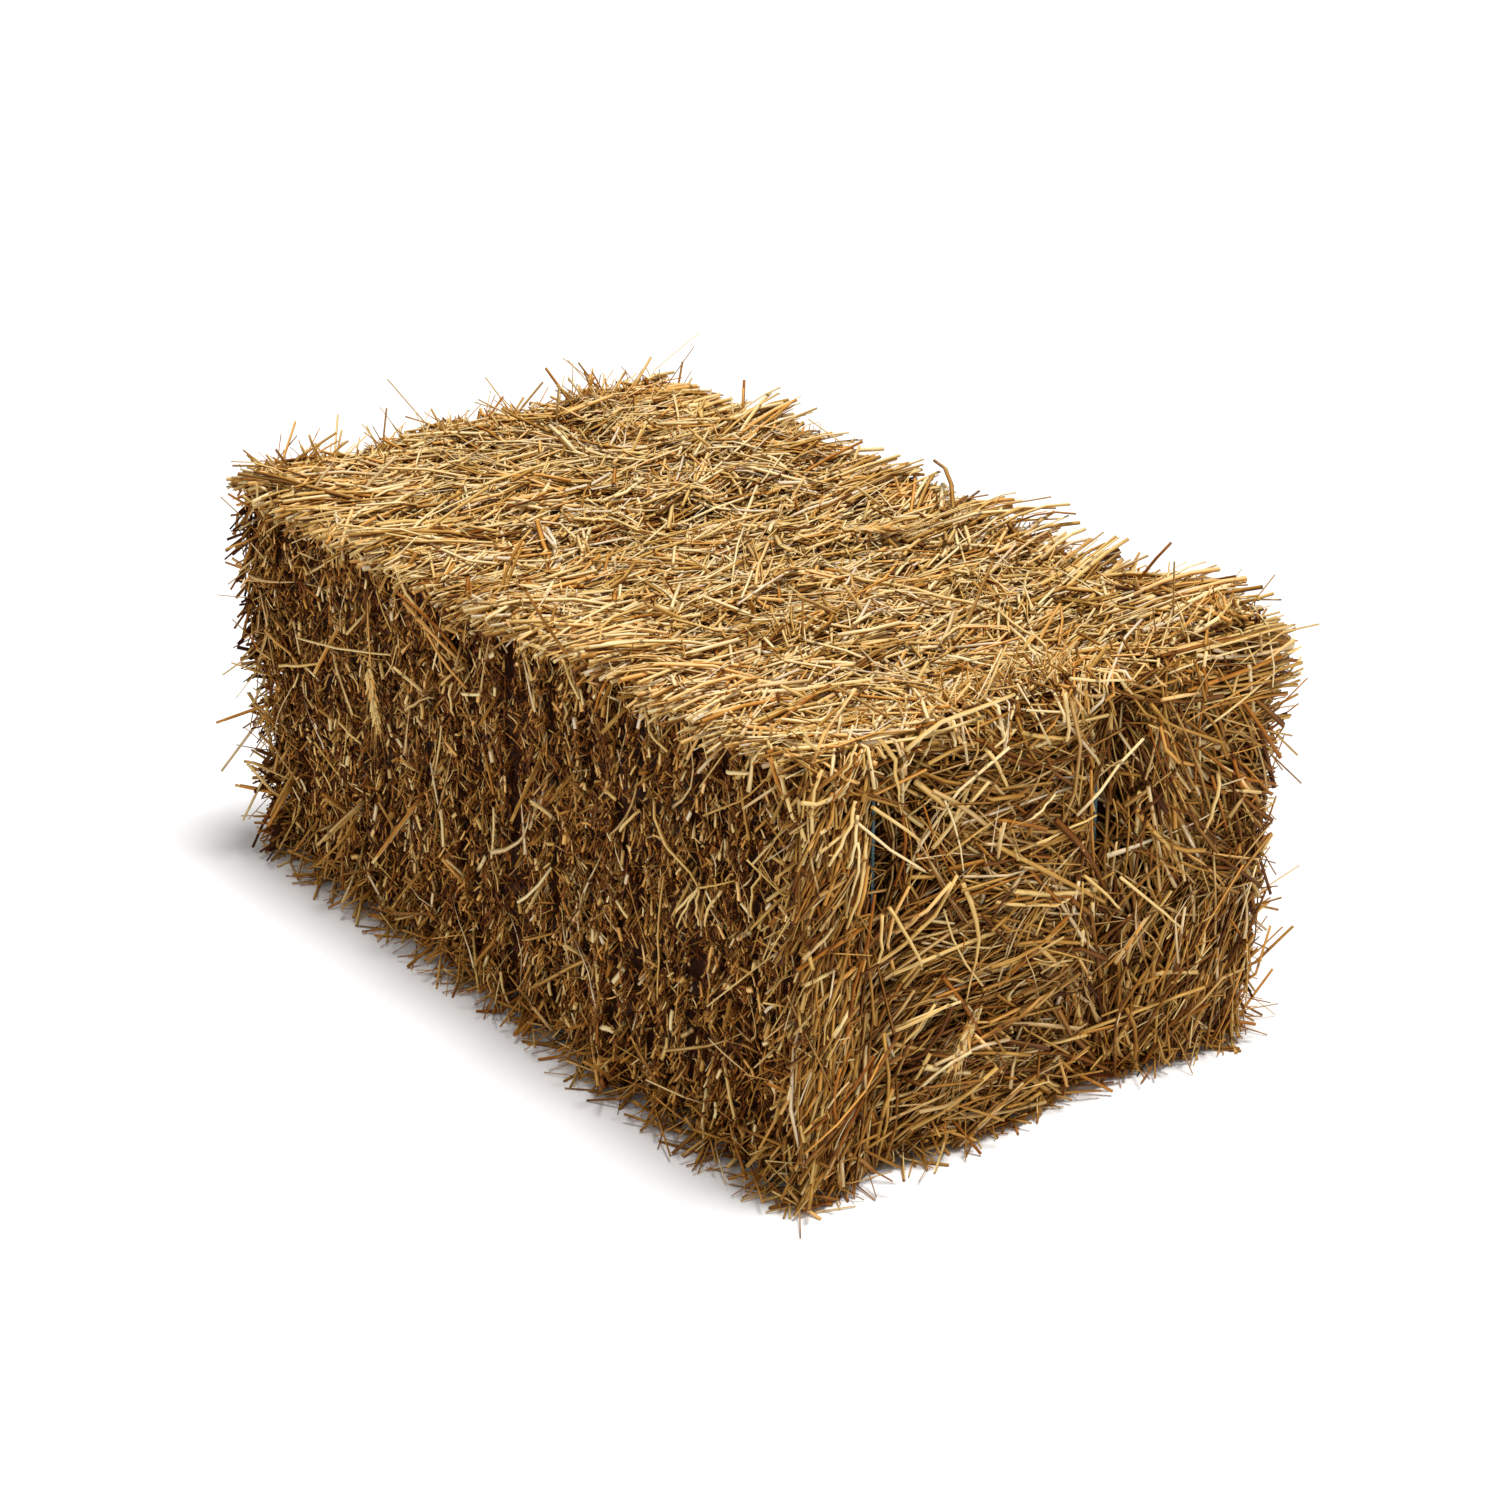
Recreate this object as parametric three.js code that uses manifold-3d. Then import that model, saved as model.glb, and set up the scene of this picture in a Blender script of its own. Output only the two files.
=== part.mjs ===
// A two-string rectangular ("square") bale of straw, in millimetres.
// The baler presses one wad of straw, a flake, at a time. The flakes stand side by side along X, and two
// loops of twine run lengthwise over the top, both ends and the bottom and hold them together.
// The near end is at +X, the side that the baler's knife cuts is at -Y and the folded side at +Y.
// The bale rests on z = 0, with the origin under its middle.
import * as THREE from "three";
import { mergeVertices } from "three/addons/utils/BufferGeometryUtils.js";
import Module from "manifold-3d";

const wasm = await Module();
wasm.setup();

// Driving dimensions
const LENGTH = 802;
const WIDTH = 457;
const HEIGHT = 356;
const FLAKES = 13;
const FLAKE_GAP = 0.4;
const THICKNESS_SPREAD = 0.16; // how much thicker or thinner than the mean a flake can be
const LAYERS = [0.3, 0.7]; // where a flake has points between its two seams
const END_LAYER = 42; // how far from the end of the bale the last of them is
const EDGE_RADIUS = 16;

// Where each twine crosses the near end, the far end, and where its knot lies along the top
const TWINES = [
  { name: "twine_cut_side", nearY: -150, farY: -118, knotX: -270 },
  { name: "twine_folded_side", nearY: 72, farY: 92, knotX: -300 },
];
const TWINE_RADIUS = 1.7;
const TWINE_SIDES = 6;
const TWINE_BEND = 24; // radius of the twine round an end of the bale
const BEND_STEPS = 5;
const BITE = { end: 13, top: 9, bottom: 6 }; // how deep the twine has sunk into each face
const KNOT_RADIUS = 4.2;
const KNOT_STRETCH = 1.35; // how much longer than thick the knot is
const TAIL_LENGTH = 30;
const TAIL_RADIUS = 1.5;
const TAIL_SLOPE = 0.15;

// The valley that a twine pulls into the straw: a narrow floor under it, and sides that lead up
const FLOOR_HALF = 3.5;
const VALLEY_HALF = 26;
const FLOOR_GAP = 0.5;

// The straw's relief
const RIDGES = 3; // from one layer of straw to the next
const LUMPS = 5; // slow lumps over a face
const LUMP_LENGTH = 85; // along the bale
const LUMP_WIDTH = 75; // round the bale
const FLAKE_STEP = 3; // one flake against the next
const SEAM = 5; // the crease between two flakes
const LIP = 15; // the ragged overhang of the top edges
const CROWN = 9; // rise of the top between the twines, near an end
const CROWN_SPREAD = 70; // how far from the end it dies away
const PULL_SPREAD = 38; // how far to each side a twine pulls the straw in
const BULGE = 7; // swelling of an end between the twines

// Where the top swells up
const TOP_SWELLS = [
  { x: -372, y: 112, rise: 17, spread: 46 },
  { x: -180, y: 215, rise: 17, spread: 80 },
  { x: -50, y: 215, rise: 9, spread: 75 },
  { x: 95, y: 205, rise: 24, spread: 48 },
  { x: 350, y: 205, rise: 14, spread: 60 },
  { x: 90, y: -60, rise: 7, spread: 90 },
];

// Where the sides and ends swell out, or are drawn in: tall is the spread of each one's height
const SIDE_SWELLS = [
  { x: 190, y: -228, z: 0, out: 17, spread: 150, tall: 120 },
  { x: -401, y: -228, z: 0, out: -15, spread: 75, tall: 110 },
  { x: 401, y: 40, z: 0, out: -14, spread: 130, tall: 90 },
  { x: 401, y: 228, z: 200, out: 9, spread: 60, tall: 150 },
];

// Loose straws
const STRAW_RADIUS = 2.2;
const STRAW_SIDES = 3;
const STRAW_ROOT = 12; // how deep a loose straw's root is
const REACH = { least: 10, most: 40 }; // how far its tip stands out
const RIM_STRAWS = 6; // on each flake
const RIM_PART = { from: 0.03, to: 0.97 }; // where on the rim they may be
const RIM_LEAN = { least: 0.6, most: 1.8 }; // how far they lean along the rim for each millimetre out
const END_STRAWS = 16; // on each end of the bale
const END_LEAN = { least: 1.2, most: 3 };
const END_FLARE = { least: 0.1, most: 0.5 }; // how far those at the end's edges lean off the end
const END_INSET = 8; // how far back from the end these are rooted
const END_PART = { width: 0.9, low: 0.1, high: 0.95 }; // where on the end the others may be
// The ones that stand out furthest, from root to tip
const TALL_STRAWS = [
  { root: [-385, 128, 345], tip: [-388, 140, 398] },
  { root: [-250, 210, 335], tip: [-256, 219, 404] },
  { root: [268, 205, 340], tip: [300, 226, 401] },
  { root: [397, 205, 335], tip: [404, 270, 322] },
  { root: [-380, -205, 152], tip: [-398, -271, 138] },
  { root: [120, -60, 345], tip: [168, -96, 385] },
];

// A repeatable random number from 0 to 1 for the whole numbers a and b
function hash(a, b) {
  const s = Math.sin(a * 127.1 + b * 311.7 + 17.3) * 43758.5453;
  return s - Math.floor(s);
}

const mix = (a, b, t) => a + (b - a) * t;
const signed = (a, b) => 2 * hash(a, b) - 1;
const twineY = (twine, x) => mix(twine.farY, twine.nearY, x / LENGTH + 0.5);

// A smooth hill: 1 at no distance, and almost 0 beyond twice the spread
const hill = (distance, spread) => Math.exp(-((distance / spread) ** 2));

// Smooth noise from -1 to 1 on a plane
function noise(u, v) {
  const [i, j] = [Math.floor(u), Math.floor(v)];
  const [s, t] = [u - i, v - j].map((d) => d * d * (3 - 2 * d));
  const low = mix(hash(i, j), hash(i + 1, j), s);
  const high = mix(hash(i, j + 1), hash(i + 1, j + 1), s);
  return 2 * mix(low, high, t) - 1;
}

// The lines of points across the bale at x: the ones on a valley's floor are sunk
function columnsAt(x) {
  const edge = WIDTH / 2 - EDGE_RADIUS;
  const [a, b] = TWINES.map((twine) => twineY(twine, x));
  const valley = (y) => [
    { y: y - VALLEY_HALF },
    { y: y - FLOOR_HALF, sunk: true },
    { y: y + FLOOR_HALF, sunk: true },
    { y: y + VALLEY_HALF },
  ];
  const between = [1 / 3, 2 / 3].map((t) => ({ y: mix(a + VALLEY_HALF, b - VALLEY_HALF, t) }));
  const beyond = { y: mix(b + VALLEY_HALF, edge, 0.5) };
  const middle = [...valley(a), ...between, ...valley(b), beyond];
  return [{ y: -WIDTH / 2 }, { y: -edge }, ...middle, { y: edge }, { y: WIDTH / 2 }];
}

const COLUMNS = columnsAt(0).length - 1;
const INNER_ROWS = 5;
const ROWS = INNER_ROWS + 2;

// The height of row j: one row at each rounded edge, and the others evenly between
function rowHeight(j) {
  if (j === 0) return 0;
  if (j === ROWS) return HEIGHT;
  return mix(EDGE_RADIUS, HEIGHT - EDGE_RADIUS, (j - 1) / INNER_ROWS);
}

// The smooth block that the straw fills, or under a twine the same block drawn in to the valley's floor
const plainBlock = { end: 0, top: 0, bottom: 0, r: EDGE_RADIUS };
const under = TWINE_RADIUS + FLOOR_GAP;
const sunkBlock = {
  end: BITE.end + under,
  top: BITE.top + under,
  bottom: BITE.bottom + under,
  r: TWINE_BEND - under,
};

// Moves a distance from a face of the plain block to the drawn-in block, whose rounding starts elsewhere
function settle(distance, bite, r) {
  return distance <= EDGE_RADIUS ? bite + (distance * r) / EDGE_RADIUS : Math.max(distance, bite + r);
}

// How much the twines pull the straw in at this place: 1 at a twine, 0 away from both
function pull(x, y) {
  return Math.max(...TWINES.map((twine) => hill(y - twineY(twine, x), PULL_SPREAD)));
}

// How far the top is raised at p
function rise(p, free) {
  const crown = CROWN * free * hill(LENGTH / 2 - Math.abs(p.x), CROWN_SPREAD);
  const one = (s) => s.rise * hill(Math.hypot(p.x - s.x, p.y - s.y), s.spread);
  return TOP_SWELLS.reduce((sum, s) => sum + one(s), crown);
}

// How far a side or an end swells out at p
function swelling(p) {
  const one = (s) => s.out * hill(Math.hypot(p.x - s.x, p.y - s.y), s.spread) * hill(p.z - s.z, s.tall);
  return SIDE_SWELLS.reduce((sum, s) => sum + one(s), 0);
}

// How far the straw stands out of the block at p, where the block's surface faces n
function relief(p, n, flake) {
  const layer = Math.round(p.x);
  const ridge = RIDGES * signed(layer, Math.round(2 * n.y));
  const lump = LUMPS * noise(p.x / LUMP_LENGTH, (p.y + 1.7 * p.z) / LUMP_WIDTH);
  const own = FLAKE_STEP * signed(flake, 5 + Math.round(n.y));
  const free = 1 - pull(p.x, p.y);
  const edge = n.z > 0.3 && n.z < 0.9 ? LIP * hash(layer + Math.round(p.y / 9), 11) : 0;
  const resting = Math.max(0, -n.z);
  const sideways = swelling(p) * (1 - n.z ** 2) + BULGE * n.x ** 2 * free;
  return (ridge + lump + own) * (1 - resting) + Math.max(0, n.z) * rise(p, free) + edge + sideways;
}

// Carries the grid point of column i and row j at a station along the bale to its place on the straw
function place(station, i, j, flake) {
  const column = columnsAt(station.x)[i];
  const block = column.sunk ? sunkBlock : plainBlock;
  const fromEnd = settle(LENGTH / 2 - Math.abs(station.x), block.end, block.r);
  const z = rowHeight(j);
  const lower = z < HEIGHT / 2;
  const height = lower ? settle(z, block.bottom, block.r) : HEIGHT - settle(HEIGHT - z, block.top, block.r);
  const p = new THREE.Vector3(Math.sign(station.x) * (LENGTH / 2 - fromEnd), column.y, height);
  const halfWidth = column.sunk ? WIDTH : WIDTH / 2;
  const inset = new THREE.Vector3(1, 1, 1).multiplyScalar(block.r);
  const low = new THREE.Vector3(-LENGTH / 2 + block.end, -halfWidth, block.bottom).add(inset);
  const high = new THREE.Vector3(LENGTH / 2 - block.end, halfWidth, HEIGHT - block.top).sub(inset);
  const centre = p.clone().clamp(low, high);
  const out = p.clone().sub(centre);
  if (out.length() < 1e-6) return p;
  p.copy(centre).add(out.setLength(block.r));
  if (column.sunk) return p;
  const n = out.normalize();
  const resting = Math.max(0, -n.z);
  p.addScaledVector(n, relief(p, n, flake) - (station.seam ? SEAM * (1 - resting) : 0));
  p.z = Math.max(0, p.z);
  return p;
}

// One flake's straw: a box's grid of points, each carried to its place
function flakeBody(flake, stations) {
  const steps = stations.length - 1;
  const grid = new THREE.BoxGeometry(steps, COLUMNS, ROWS, steps, COLUMNS, ROWS);
  grid.translate(steps / 2, COLUMNS / 2, ROWS / 2);
  grid.deleteAttribute("normal");
  grid.deleteAttribute("uv");
  const surface = mergeVertices(grid);
  const positions = surface.attributes.position;
  for (let v = 0; v < positions.count; v++) {
    const [k, i, j] = [positions.getX(v), positions.getY(v), positions.getZ(v)].map(Math.round);
    const p = place(stations[k], i, j, flake);
    positions.setXYZ(v, p.x, p.y, p.z);
  }
  return solidOf(surface);
}

function solidOf(geometry) {
  const plain = geometry.clone();
  plain.deleteAttribute("normal");
  plain.deleteAttribute("uv");
  const merged = mergeVertices(plain, 1e-4);
  const made = new wasm.Manifold(
    new wasm.Mesh({
      numProp: 3,
      vertProperties: new Float32Array(merged.attributes.position.array),
      triVerts: new Uint32Array(merged.index.array),
    }),
  );
  if (made.volume() > 0) return made;
  throw new Error("a piece is inside out");
}

function geometryOf(solid) {
  const mesh = solid.getMesh();
  const geometry = new THREE.BufferGeometry();
  geometry.setAttribute("position", new THREE.BufferAttribute(mesh.vertProperties, 3));
  geometry.setIndex(new THREE.BufferAttribute(mesh.triVerts, 1));
  geometry.computeVertexNormals();
  return geometry;
}

function largestPiece(solid) {
  return solid.decompose().reduce((a, b) => (b.volume() > a.volume() ? b : a));
}

// Where each flake starts and ends along the bale: no two are equally thick
function flakeEdges() {
  const thickness = Array.from({ length: FLAKES }, (_, k) => 1 + THICKNESS_SPREAD * signed(k, 5));
  const total = thickness.reduce((a, b) => a + b);
  const edges = [-LENGTH / 2];
  thickness.forEach((t) => edges.push(edges.at(-1) + (t / total) * LENGTH));
  return edges;
}

// The stations of one flake: a crease at each seam, and a rounded edge at an end of the bale
function stationsOf(flake, x0, x1) {
  const roundedEnd = [END_LAYER, EDGE_RADIUS, 0].map((d) => ({ x: LENGTH / 2 - d }));
  if (flake === FLAKES - 1) return [{ x: x0, seam: true }, ...roundedEnd];
  if (flake === 0) return [...roundedEnd.map(({ x }) => ({ x: -x })).reverse(), { x: x1, seam: true }];
  const layers = LAYERS.map((t) => ({ x: mix(x0, x1, t) }));
  return [{ x: x0, seam: true }, ...layers, { x: x1, seam: true }];
}

// The point at u, from 0 to 1, up the cut side, over the top and down the folded side
function rim(u) {
  const d = u * (WIDTH + 2 * HEIGHT);
  const up = { y: 0, z: 1 };
  if (d < HEIGHT) return { y: -WIDTH / 2, z: d, out: { y: -1, z: 0 }, along: up };
  if (d < HEIGHT + WIDTH) return { y: d - HEIGHT - WIDTH / 2, z: HEIGHT, out: up, along: { y: 1, z: 0 } };
  return { y: WIDTH / 2, z: WIDTH + 2 * HEIGHT - d, out: { y: 1, z: 0 }, along: up };
}

// A straw from just under the surface at p to a tip that stands out by reach and leans by lean
function looseStraw(p, out, lean, reach) {
  const way = out.clone().multiplyScalar(reach).add(lean);
  const root = p.clone().addScaledVector(way, -STRAW_ROOT / reach);
  const tip = p.clone().add(way);
  const lowest = 2 * STRAW_RADIUS;
  tip.z = Math.max(tip.z, lowest);
  root.z = Math.max(root.z, lowest);
  return { root, tip };
}

// The straws that stand out round a flake
function rimStraws(flake, x0, x1) {
  return Array.from({ length: RIM_STRAWS }, (_, i) => {
    const random = (n) => hash(flake * 61 + i, 20 + n);
    const at = rim(mix(RIM_PART.from, RIM_PART.to, random(0)));
    const reach = mix(REACH.least, REACH.most, random(1) ** 2);
    const across = reach * mix(RIM_LEAN.least, RIM_LEAN.most, random(2)) * (random(3) < 0.5 ? -1 : 1);
    const lean = new THREE.Vector3(reach * (random(4) - 0.5), at.along.y * across, at.along.z * across);
    const p = new THREE.Vector3(mix(x0, x1, 0.2 + 0.6 * random(5)), at.y, at.z);
    return looseStraw(p, new THREE.Vector3(0, at.out.y, at.out.z), lean, reach);
  });
}

// The straws at an end of the bale: half fan out past its edges, half stand off its face
function endStraws(side) {
  return Array.from({ length: END_STRAWS }, (_, i) => {
    const random = (n) => hash(side * 83 + i, 40 + n);
    const reach = mix(REACH.least, REACH.most, random(1) ** 1.5);
    if (i % 2) {
      const at = rim(mix(RIM_PART.from, RIM_PART.to, random(0)));
      const across = 1.4 * reach * (random(2) - 0.5);
      const beyond = side * reach * mix(END_FLARE.least, END_FLARE.most, random(3));
      const lean = new THREE.Vector3(beyond, at.along.y * across, at.along.z * across);
      const p = new THREE.Vector3(side * (LENGTH / 2 - END_INSET), at.y, at.z);
      return looseStraw(p, new THREE.Vector3(0, at.out.y, at.out.z), lean, reach);
    }
    const turn = 2 * Math.PI * random(2);
    const sweep = reach * mix(END_LEAN.least, END_LEAN.most, random(3));
    const lean = new THREE.Vector3(0, Math.cos(turn) * sweep, Math.sin(turn) * sweep);
    const y = (random(4) - 0.5) * END_PART.width * WIDTH;
    const z = mix(END_PART.low, END_PART.high, random(5)) * HEIGHT;
    const p = new THREE.Vector3((side * LENGTH) / 2, y, z);
    return looseStraw(p, new THREE.Vector3(side, 0, 0), lean, 0.7 * reach);
  });
}

function tallStraws(x0, x1) {
  const here = TALL_STRAWS.filter(({ root }) => root[0] >= x0 && root[0] < x1);
  return here.map(({ root, tip }) => ({ root: new THREE.Vector3(...root), tip: new THREE.Vector3(...tip) }));
}

function strawSolid({ root, tip }) {
  const way = tip.clone().sub(root);
  const geometry = new THREE.CylinderGeometry(STRAW_RADIUS, STRAW_RADIUS, way.length(), STRAW_SIDES);
  geometry.translate(0, way.length() / 2, 0);
  const turn = new THREE.Quaternion().setFromUnitVectors(new THREE.Vector3(0, 1, 0), way.normalize());
  return solidOf(geometry.applyQuaternion(turn).translate(root.x, root.y, root.z));
}

// The room that one flake, with its loose straws, has between its neighbours
function room(flake, x0, x1) {
  const spare = 2 * REACH.most;
  const low = flake === 0 ? x0 - spare : x0 + FLAKE_GAP / 2;
  const high = flake === FLAKES - 1 ? x1 + spare : x1 - FLAKE_GAP / 2;
  const box = new THREE.BoxGeometry(high - low, WIDTH + 2 * spare, HEIGHT + spare);
  return solidOf(box.translate((low + high) / 2, 0, (HEIGHT + spare) / 2));
}

// The twine's round of the bale in its own upright plane, as a closed row of points
function roundOfTwine() {
  const half = LENGTH / 2 - BITE.end - TWINE_BEND;
  const top = HEIGHT - BITE.top - TWINE_BEND;
  const bottom = BITE.bottom + TWINE_BEND;
  const corners = [[half, bottom, -90], [half, top, 0], [-half, top, 90], [-half, bottom, 180]];
  return corners.flatMap(([x, z, start]) =>
    Array.from({ length: BEND_STEPS + 1 }, (_, i) => {
      const a = THREE.MathUtils.degToRad(start + (90 * i) / BEND_STEPS);
      return new THREE.Vector2(x + TWINE_BEND * Math.cos(a), z + TWINE_BEND * Math.sin(a));
    }),
  );
}

// A closed tube round the twine's path
function twineLoop() {
  const path = roundOfTwine();
  const points = [];
  const faces = [];
  path.forEach((p, k) => {
    const before = path.at(k - 1);
    const after = path[(k + 1) % path.length];
    const way = after.clone().sub(before).normalize();
    const next = (k + 1) % path.length;
    for (let s = 0; s < TWINE_SIDES; s++) {
      const a = (2 * Math.PI * s) / TWINE_SIDES;
      const out = TWINE_RADIUS * Math.cos(a);
      points.push(new THREE.Vector3(p.x + way.y * out, TWINE_RADIUS * Math.sin(a), p.y - way.x * out));
      const t = (s + 1) % TWINE_SIDES;
      const [p00, p01] = [k * TWINE_SIDES + s, k * TWINE_SIDES + t];
      const [p10, p11] = [next * TWINE_SIDES + s, next * TWINE_SIDES + t];
      faces.push(p00, p01, p11, p00, p11, p10);
    }
  });
  return new THREE.BufferGeometry().setFromPoints(points).setIndex(faces);
}

// The knot lies on top of its twine, with two short tails
function knotSolids(twine) {
  const z = HEIGHT - BITE.top;
  const lump = new THREE.SphereGeometry(KNOT_RADIUS, 8, 6);
  lump.scale(KNOT_STRETCH, 1, 1).translate(twine.knotX, 0, z + KNOT_RADIUS - TWINE_RADIUS);
  const tails = [-1, 1].map((side) => {
    const tail = new THREE.CylinderGeometry(TAIL_RADIUS, TAIL_RADIUS, TAIL_LENGTH, TWINE_SIDES);
    tail.rotateZ(Math.PI / 2).rotateY(-side * TAIL_SLOPE);
    return tail.translate(twine.knotX + side * 0.5 * TAIL_LENGTH, 0, z + KNOT_RADIUS);
  });
  return [lump, ...tails].map(solidOf);
}

// Carries a twine from its own plane to its slanting line across the bale
function slantedPlace(twine) {
  const slope = (twine.nearY - twine.farY) / LENGTH;
  const middle = (twine.nearY + twine.farY) / 2;
  return new THREE.Matrix4().set(1, 0, 0, 0, slope, 1, 0, middle, 0, 0, 1, 0, 0, 0, 0, 1);
}

function twineSolid(twine) {
  const whole = wasm.Manifold.union([solidOf(twineLoop()), ...knotSolids(twine)]);
  return solidOf(geometryOf(whole).applyMatrix4(slantedPlace(twine)));
}

const bale = new THREE.Group();
bale.name = "straw_bale";

function addPiece(name, solid, material) {
  const mesh = new THREE.Mesh(geometryOf(solid), material);
  mesh.name = name;
  bale.add(mesh);
}

// The flakes
const strawColours = ["#b6925e", "#a9854f", "#bd9a66", "#a27e49"];
const edges = flakeEdges();
for (let flake = 0; flake < FLAKES; flake++) {
  const [x0, x1] = [edges[flake], edges[flake + 1]];
  const loose = [...rimStraws(flake, x0, x1), ...tallStraws(x0, x1)];
  if (flake === 0) loose.push(...endStraws(-1));
  if (flake === FLAKES - 1) loose.push(...endStraws(1));
  const body = flakeBody(flake, stationsOf(flake, x0, x1));
  const whole = wasm.Manifold.union([body, ...loose.map(strawSolid)]).intersect(room(flake, x0, x1));
  const color = strawColours[flake % strawColours.length];
  const material = new THREE.MeshStandardMaterial({ color, roughness: 0.75, flatShading: true });
  addPiece(`flake_${String(flake + 1).padStart(2, "0")}`, largestPiece(whole), material);
}

// The twines
for (const twine of TWINES) {
  const material = new THREE.MeshStandardMaterial({ color: "#3f7480", roughness: 0.55 });
  addPiece(twine.name, twineSolid(twine), material);
}

// The loose straws reach further on one side than on the other, so the middle is taken from the whole
const box = new THREE.Box3().setFromObject(bale);
const middle = box.getCenter(new THREE.Vector3());
bale.position.set(-middle.x, -middle.y, -box.min.z);

export default bale;
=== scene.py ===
"""A small rectangular bale of straw, held by two twines, on a plain pale floor.

The CAD flakes give the bale's shape. Here each flake becomes a core, painted dark as shade, with its stems on it,
laid in sheets over the top and the folded side, cut off short on the cut side and fanned out over the ends.
Lengths are in metres. n is always a number of stems, and k the points along each.
"""

import math

import bpy
import numpy as np
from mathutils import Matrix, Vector
from mathutils.bvhtree import BVHTree


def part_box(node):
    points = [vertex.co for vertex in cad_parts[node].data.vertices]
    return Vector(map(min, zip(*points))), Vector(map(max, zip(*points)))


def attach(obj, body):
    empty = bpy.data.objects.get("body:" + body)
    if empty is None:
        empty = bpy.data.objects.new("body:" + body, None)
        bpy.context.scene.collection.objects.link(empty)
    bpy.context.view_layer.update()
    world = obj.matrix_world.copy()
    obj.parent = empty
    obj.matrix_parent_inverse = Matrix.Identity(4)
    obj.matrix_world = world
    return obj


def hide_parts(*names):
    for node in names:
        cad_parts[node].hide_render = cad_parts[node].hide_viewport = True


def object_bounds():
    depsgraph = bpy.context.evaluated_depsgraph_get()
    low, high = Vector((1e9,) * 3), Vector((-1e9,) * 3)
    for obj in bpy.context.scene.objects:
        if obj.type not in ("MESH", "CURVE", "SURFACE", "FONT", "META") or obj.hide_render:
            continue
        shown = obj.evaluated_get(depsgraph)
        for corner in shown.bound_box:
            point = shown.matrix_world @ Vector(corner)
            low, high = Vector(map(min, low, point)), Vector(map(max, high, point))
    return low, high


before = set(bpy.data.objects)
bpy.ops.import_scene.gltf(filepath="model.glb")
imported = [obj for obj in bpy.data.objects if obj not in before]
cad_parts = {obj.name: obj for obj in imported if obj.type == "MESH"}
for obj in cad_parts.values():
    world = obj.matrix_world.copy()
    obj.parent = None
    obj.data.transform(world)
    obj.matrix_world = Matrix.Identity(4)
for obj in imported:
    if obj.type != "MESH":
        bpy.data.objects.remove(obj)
cad_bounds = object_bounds()

# The pressed block, as in the CAD, and the radius of its long edges
LENGTH, WIDTH, HEIGHT = 0.802, 0.457, 0.356
HALF_LENGTH, HALF_WIDTH = LENGTH / 2, WIDTH / 2
EDGE = 0.016
FLAKES = [f"flake_{k:02d}" for k in range(1, 14)]
TWINES = {
    "twine_cut_side": {"near": -0.150, "far": -0.118, "knot": -0.270},
    "twine_folded_side": {"near": 0.072, "far": 0.092, "knot": -0.300},
}
TWINE_BEND = 0.024
BITE = {"end": 0.013, "top": 0.009, "bottom": 0.006}

# The camera, relative to the middle of the block
CAMERA_AZIMUTH, CAMERA_ELEVATION, CAMERA_DISTANCE = 52.86, 23.14, 2.783
CAMERA_TARGET = (0.021, 0.016, 0.180)
CAMERA_LENS = 78.4
FRONT_PLACE, FRONT_TARGET = (1.8, -2.6, 1.9), (0, 0, 0.15)

# The stems' texture: a row for each hue of each tone, and so many metres of stem from edge to edge
TONES = 16
HUES = 3
ROWS = TONES * HUES
STEM_SPAN = 0.25
# The rows painted as shade: the darkest for the pits in open ends, and a dark one for the cores
PIT_SHADE_ROW = (ROWS - HUES + 0.5) / ROWS
CORE_SHADE_ROW = (ROWS - 4 * HUES + 0.5) / ROWS
# The part of its row that a stem's section takes, start and width: all of it, or its strip on the painted lit side
WHOLE_STRIP = (0.08, 0.84)
EVEN_STRIP = (0.20, 0.24)
# The shares of the plain, greyish and orange hues
HUE_SHARES, CUT_HUE_SHARES, END_HUE_SHARES = (0.68, 0.12, 0.20), (0.22, 0.08, 0.70), (0.56, 0.32, 0.12)
PLAIN, GREYISH = 0, 1
# How far past the CAD's own box a stem may reach
PAST_BOX = np.array([0.020, 0.018, 0.016])
LOWEST, HIGHEST = np.array(cad_bounds[0]) - PAST_BOX, np.array(cad_bounds[1]) + PAST_BOX

LEAST_Z = 0.0004  # of any stem, over the floor

rng = np.random.default_rng(14)


def block_middle():
    """The middle of the block's foot. The CAD's origin is under the middle of its box, loose straws included."""
    low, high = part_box("twine_folded_side")
    low2, high2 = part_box("twine_cut_side")
    x = (low.x + high.x) / 2
    expected = sum(t["near"] + t["far"] for t in TWINES.values()) / 4
    y = ((low.y + high.y) / 2 + (low2.y + high2.y) / 2) / 2 - expected
    return np.array([x, y, 0.0])


MIDDLE = block_middle()

# The block's section as a line: s is 0 at the middle of the top, grows over the folded side, and is
# negative over the cut side
TOP_HALF = HALF_WIDTH - EDGE
ARC = math.pi * EDGE / 2
SIDE = HEIGHT - 2 * EDGE
SIDE_TOP = TOP_HALF + ARC
HALF_ROUND = 2 * TOP_HALF + 2 * ARC + SIDE
TOP, FOLDED, CUT = (-TOP_HALF, TOP_HALF), (SIDE_TOP, SIDE_TOP + SIDE), (-SIDE_TOP - SIDE, -SIDE_TOP)


def mix(a, b, t):
    return a + (b - a) * t


def unit(vectors, tiny=0.0):
    """The vectors, each with a length of 1."""
    return vectors / (np.linalg.norm(vectors, axis=-1, keepdims=True) + tiny)


def side_run(z):
    """How far a height on a long side is from the middle of the top, along the section."""
    return SIDE_TOP + (HEIGHT - EDGE - z)


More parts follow.
